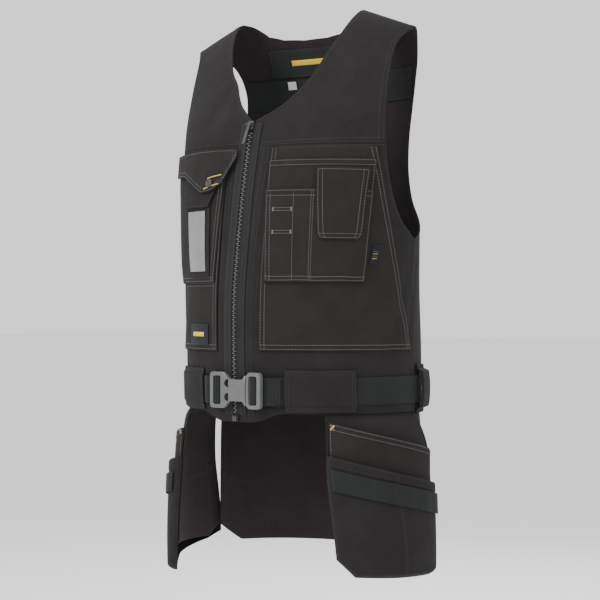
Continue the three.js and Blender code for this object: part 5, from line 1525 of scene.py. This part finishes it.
def rear_panel():
    turns = [REAR_TURN, *np.linspace(REAR_CHAMFER_TURN, 360 - REAR_CHAMFER_TURN, 15), 360 - REAR_TURN]
    downs = [REAR_CORNER_DOWN] + [REAR_BOTTOM_DOWN] * 15 + [REAR_CORNER_DOWN]
    outline = hanging_back(path(list(zip(turns, downs))))
    panel = Cloth("rear_panel", "canvas", rear_surface, outline, 0.0, SHELL, size=(100, 64), inside="lining",
                  hems=hem("left right bottom", 8, 0.3))
    inside = InnerFace(panel)
    seam = 1 - (REAR_SEAM_DOWN * SKIRT_LENGTH + HEM_TUCK) / (REAR_BOTTOM_DOWN * SKIRT_LENGTH + HEM_TUCK)
    for share in (seam, seam + 0.016):
        level_row(inside, share, 0.01, 0.99, 300)
    seams(panel, "left right bottom", (5.0,), trim=3, face=inside, count=300)
    high, floor = skirt_height(REAR_SEAM_DOWN), skirt_height(REAR_BOTTOM_DOWN) + SHELL

    def pocket(u, v):
        return lerp(REAR_POCKET_TURN, 360 - REAR_POCKET_TURN, u), lerp(floor, high, v)

    def lift(a, b):
        share = (a - REAR_POCKET_TURN) / (360 - 2 * REAR_POCKET_TURN)
        climb = np.clip((b - floor) / (high - floor), 0, 1)
        stand = gusset(np.clip(100 * share, 0, 100)) * np.minimum(1, 3 * climb)
        return SHELL + LAYER_GAP + REAR_FULLNESS * stand
    bag = Cloth("rear_pocket", "overlay", rear_surface, pocket, lift, POCKET_CLOTH, size=(88, 28),
                hems=hem("top", 10, 0.6) + hem("bottom", 7, 0.3))
    seams(bag, "top", (2.0, 8.6), "grey", trim=3, count=300)
    seams(bag, "left right bottom", (2.4,), "grey")


# Camera, lights and floor
def camera():
    data = bpy.data.cameras.new("camera")
    data.lens = CAMERA_LENS
    data.sensor_width = 36
    made = add_object("camera", data)
    turn = math.radians(CAMERA_AZIMUTH)
    x = CAMERA_DISTANCE * math.sin(turn) - CAMERA_SHIFT * math.cos(turn)
    y = -CAMERA_DISTANCE * math.cos(turn) - CAMERA_SHIFT * math.sin(turn)
    made.location = Vector((x, y, CAMERA_HEIGHT)) * MM
    made.rotation_euler = (math.radians(90), 0, turn)
    bpy.context.scene.camera = made


def area_light(name, place, target, size, power):
    data = bpy.data.lights.new(name, "AREA")
    data.shape = "DISK"
    data.size = size
    data.energy = power
    made = add_object(name, data)
    made.location = place
    made.rotation_euler = (Vector(target) - Vector(place)).to_track_quat("-Z", "Y").to_euler()


def studio():
    """An even pale surround, a pale floor and four soft lights, in metres and watts."""
    world = bpy.data.worlds.new("studio")
    bpy.context.scene.world = world
    world.use_nodes = True
    back = world.node_tree.nodes["Background"]
    back.inputs[0].default_value = (1.0, 1.0, 1.0, 1)
    back.inputs[1].default_value = 1.25
    mesh = bpy.data.meshes.new("floor")
    span, level = 30.0, -1.25
    mesh.from_pydata([(-span, -span, level), (span, -span, level), (span, span, level), (-span, span, level)],
                     [], [(0, 1, 2, 3)])
    pale = bpy.data.materials.new("pale_floor")
    pale.use_nodes = True
    shader = pale.node_tree.nodes["Principled BSDF"]
    shader.inputs["Base Color"].default_value = (0.9, 0.9, 0.9, 1)
    shader.inputs["Roughness"].default_value = 0.8
    mesh.materials.append(pale)
    add_object("floor", mesh)
    area_light("key", (-0.6, -2.6, 1.2), (0, 0, -0.35), 1.4, 62)
    area_light("fill", (2.6, -1.4, 0.3), (0, 0, -0.4), 1.8, 26)
    area_light("top", (0.2, -0.2, 2.2), (0, 0, -0.3), 1.6, 30)
    area_light("back", (-1.2, 2.6, 0.9), (0, 0, -0.35), 2.0, 45)


camera()
for which in HANDS:
    front_panel(which)
    front_yoke(which)
    holster(which)
back_yoke()
back_panel()
back_trim()
pockets_left()
pockets_right()
right_flap()
snap()
zip_pieces()
soft_copy("zip_slider", BODY, 0.35)
soft_copy("zip_pull", "zip_pull", 0.3)
belt()
buckle()
rear_panel()
make_threads()
studio()
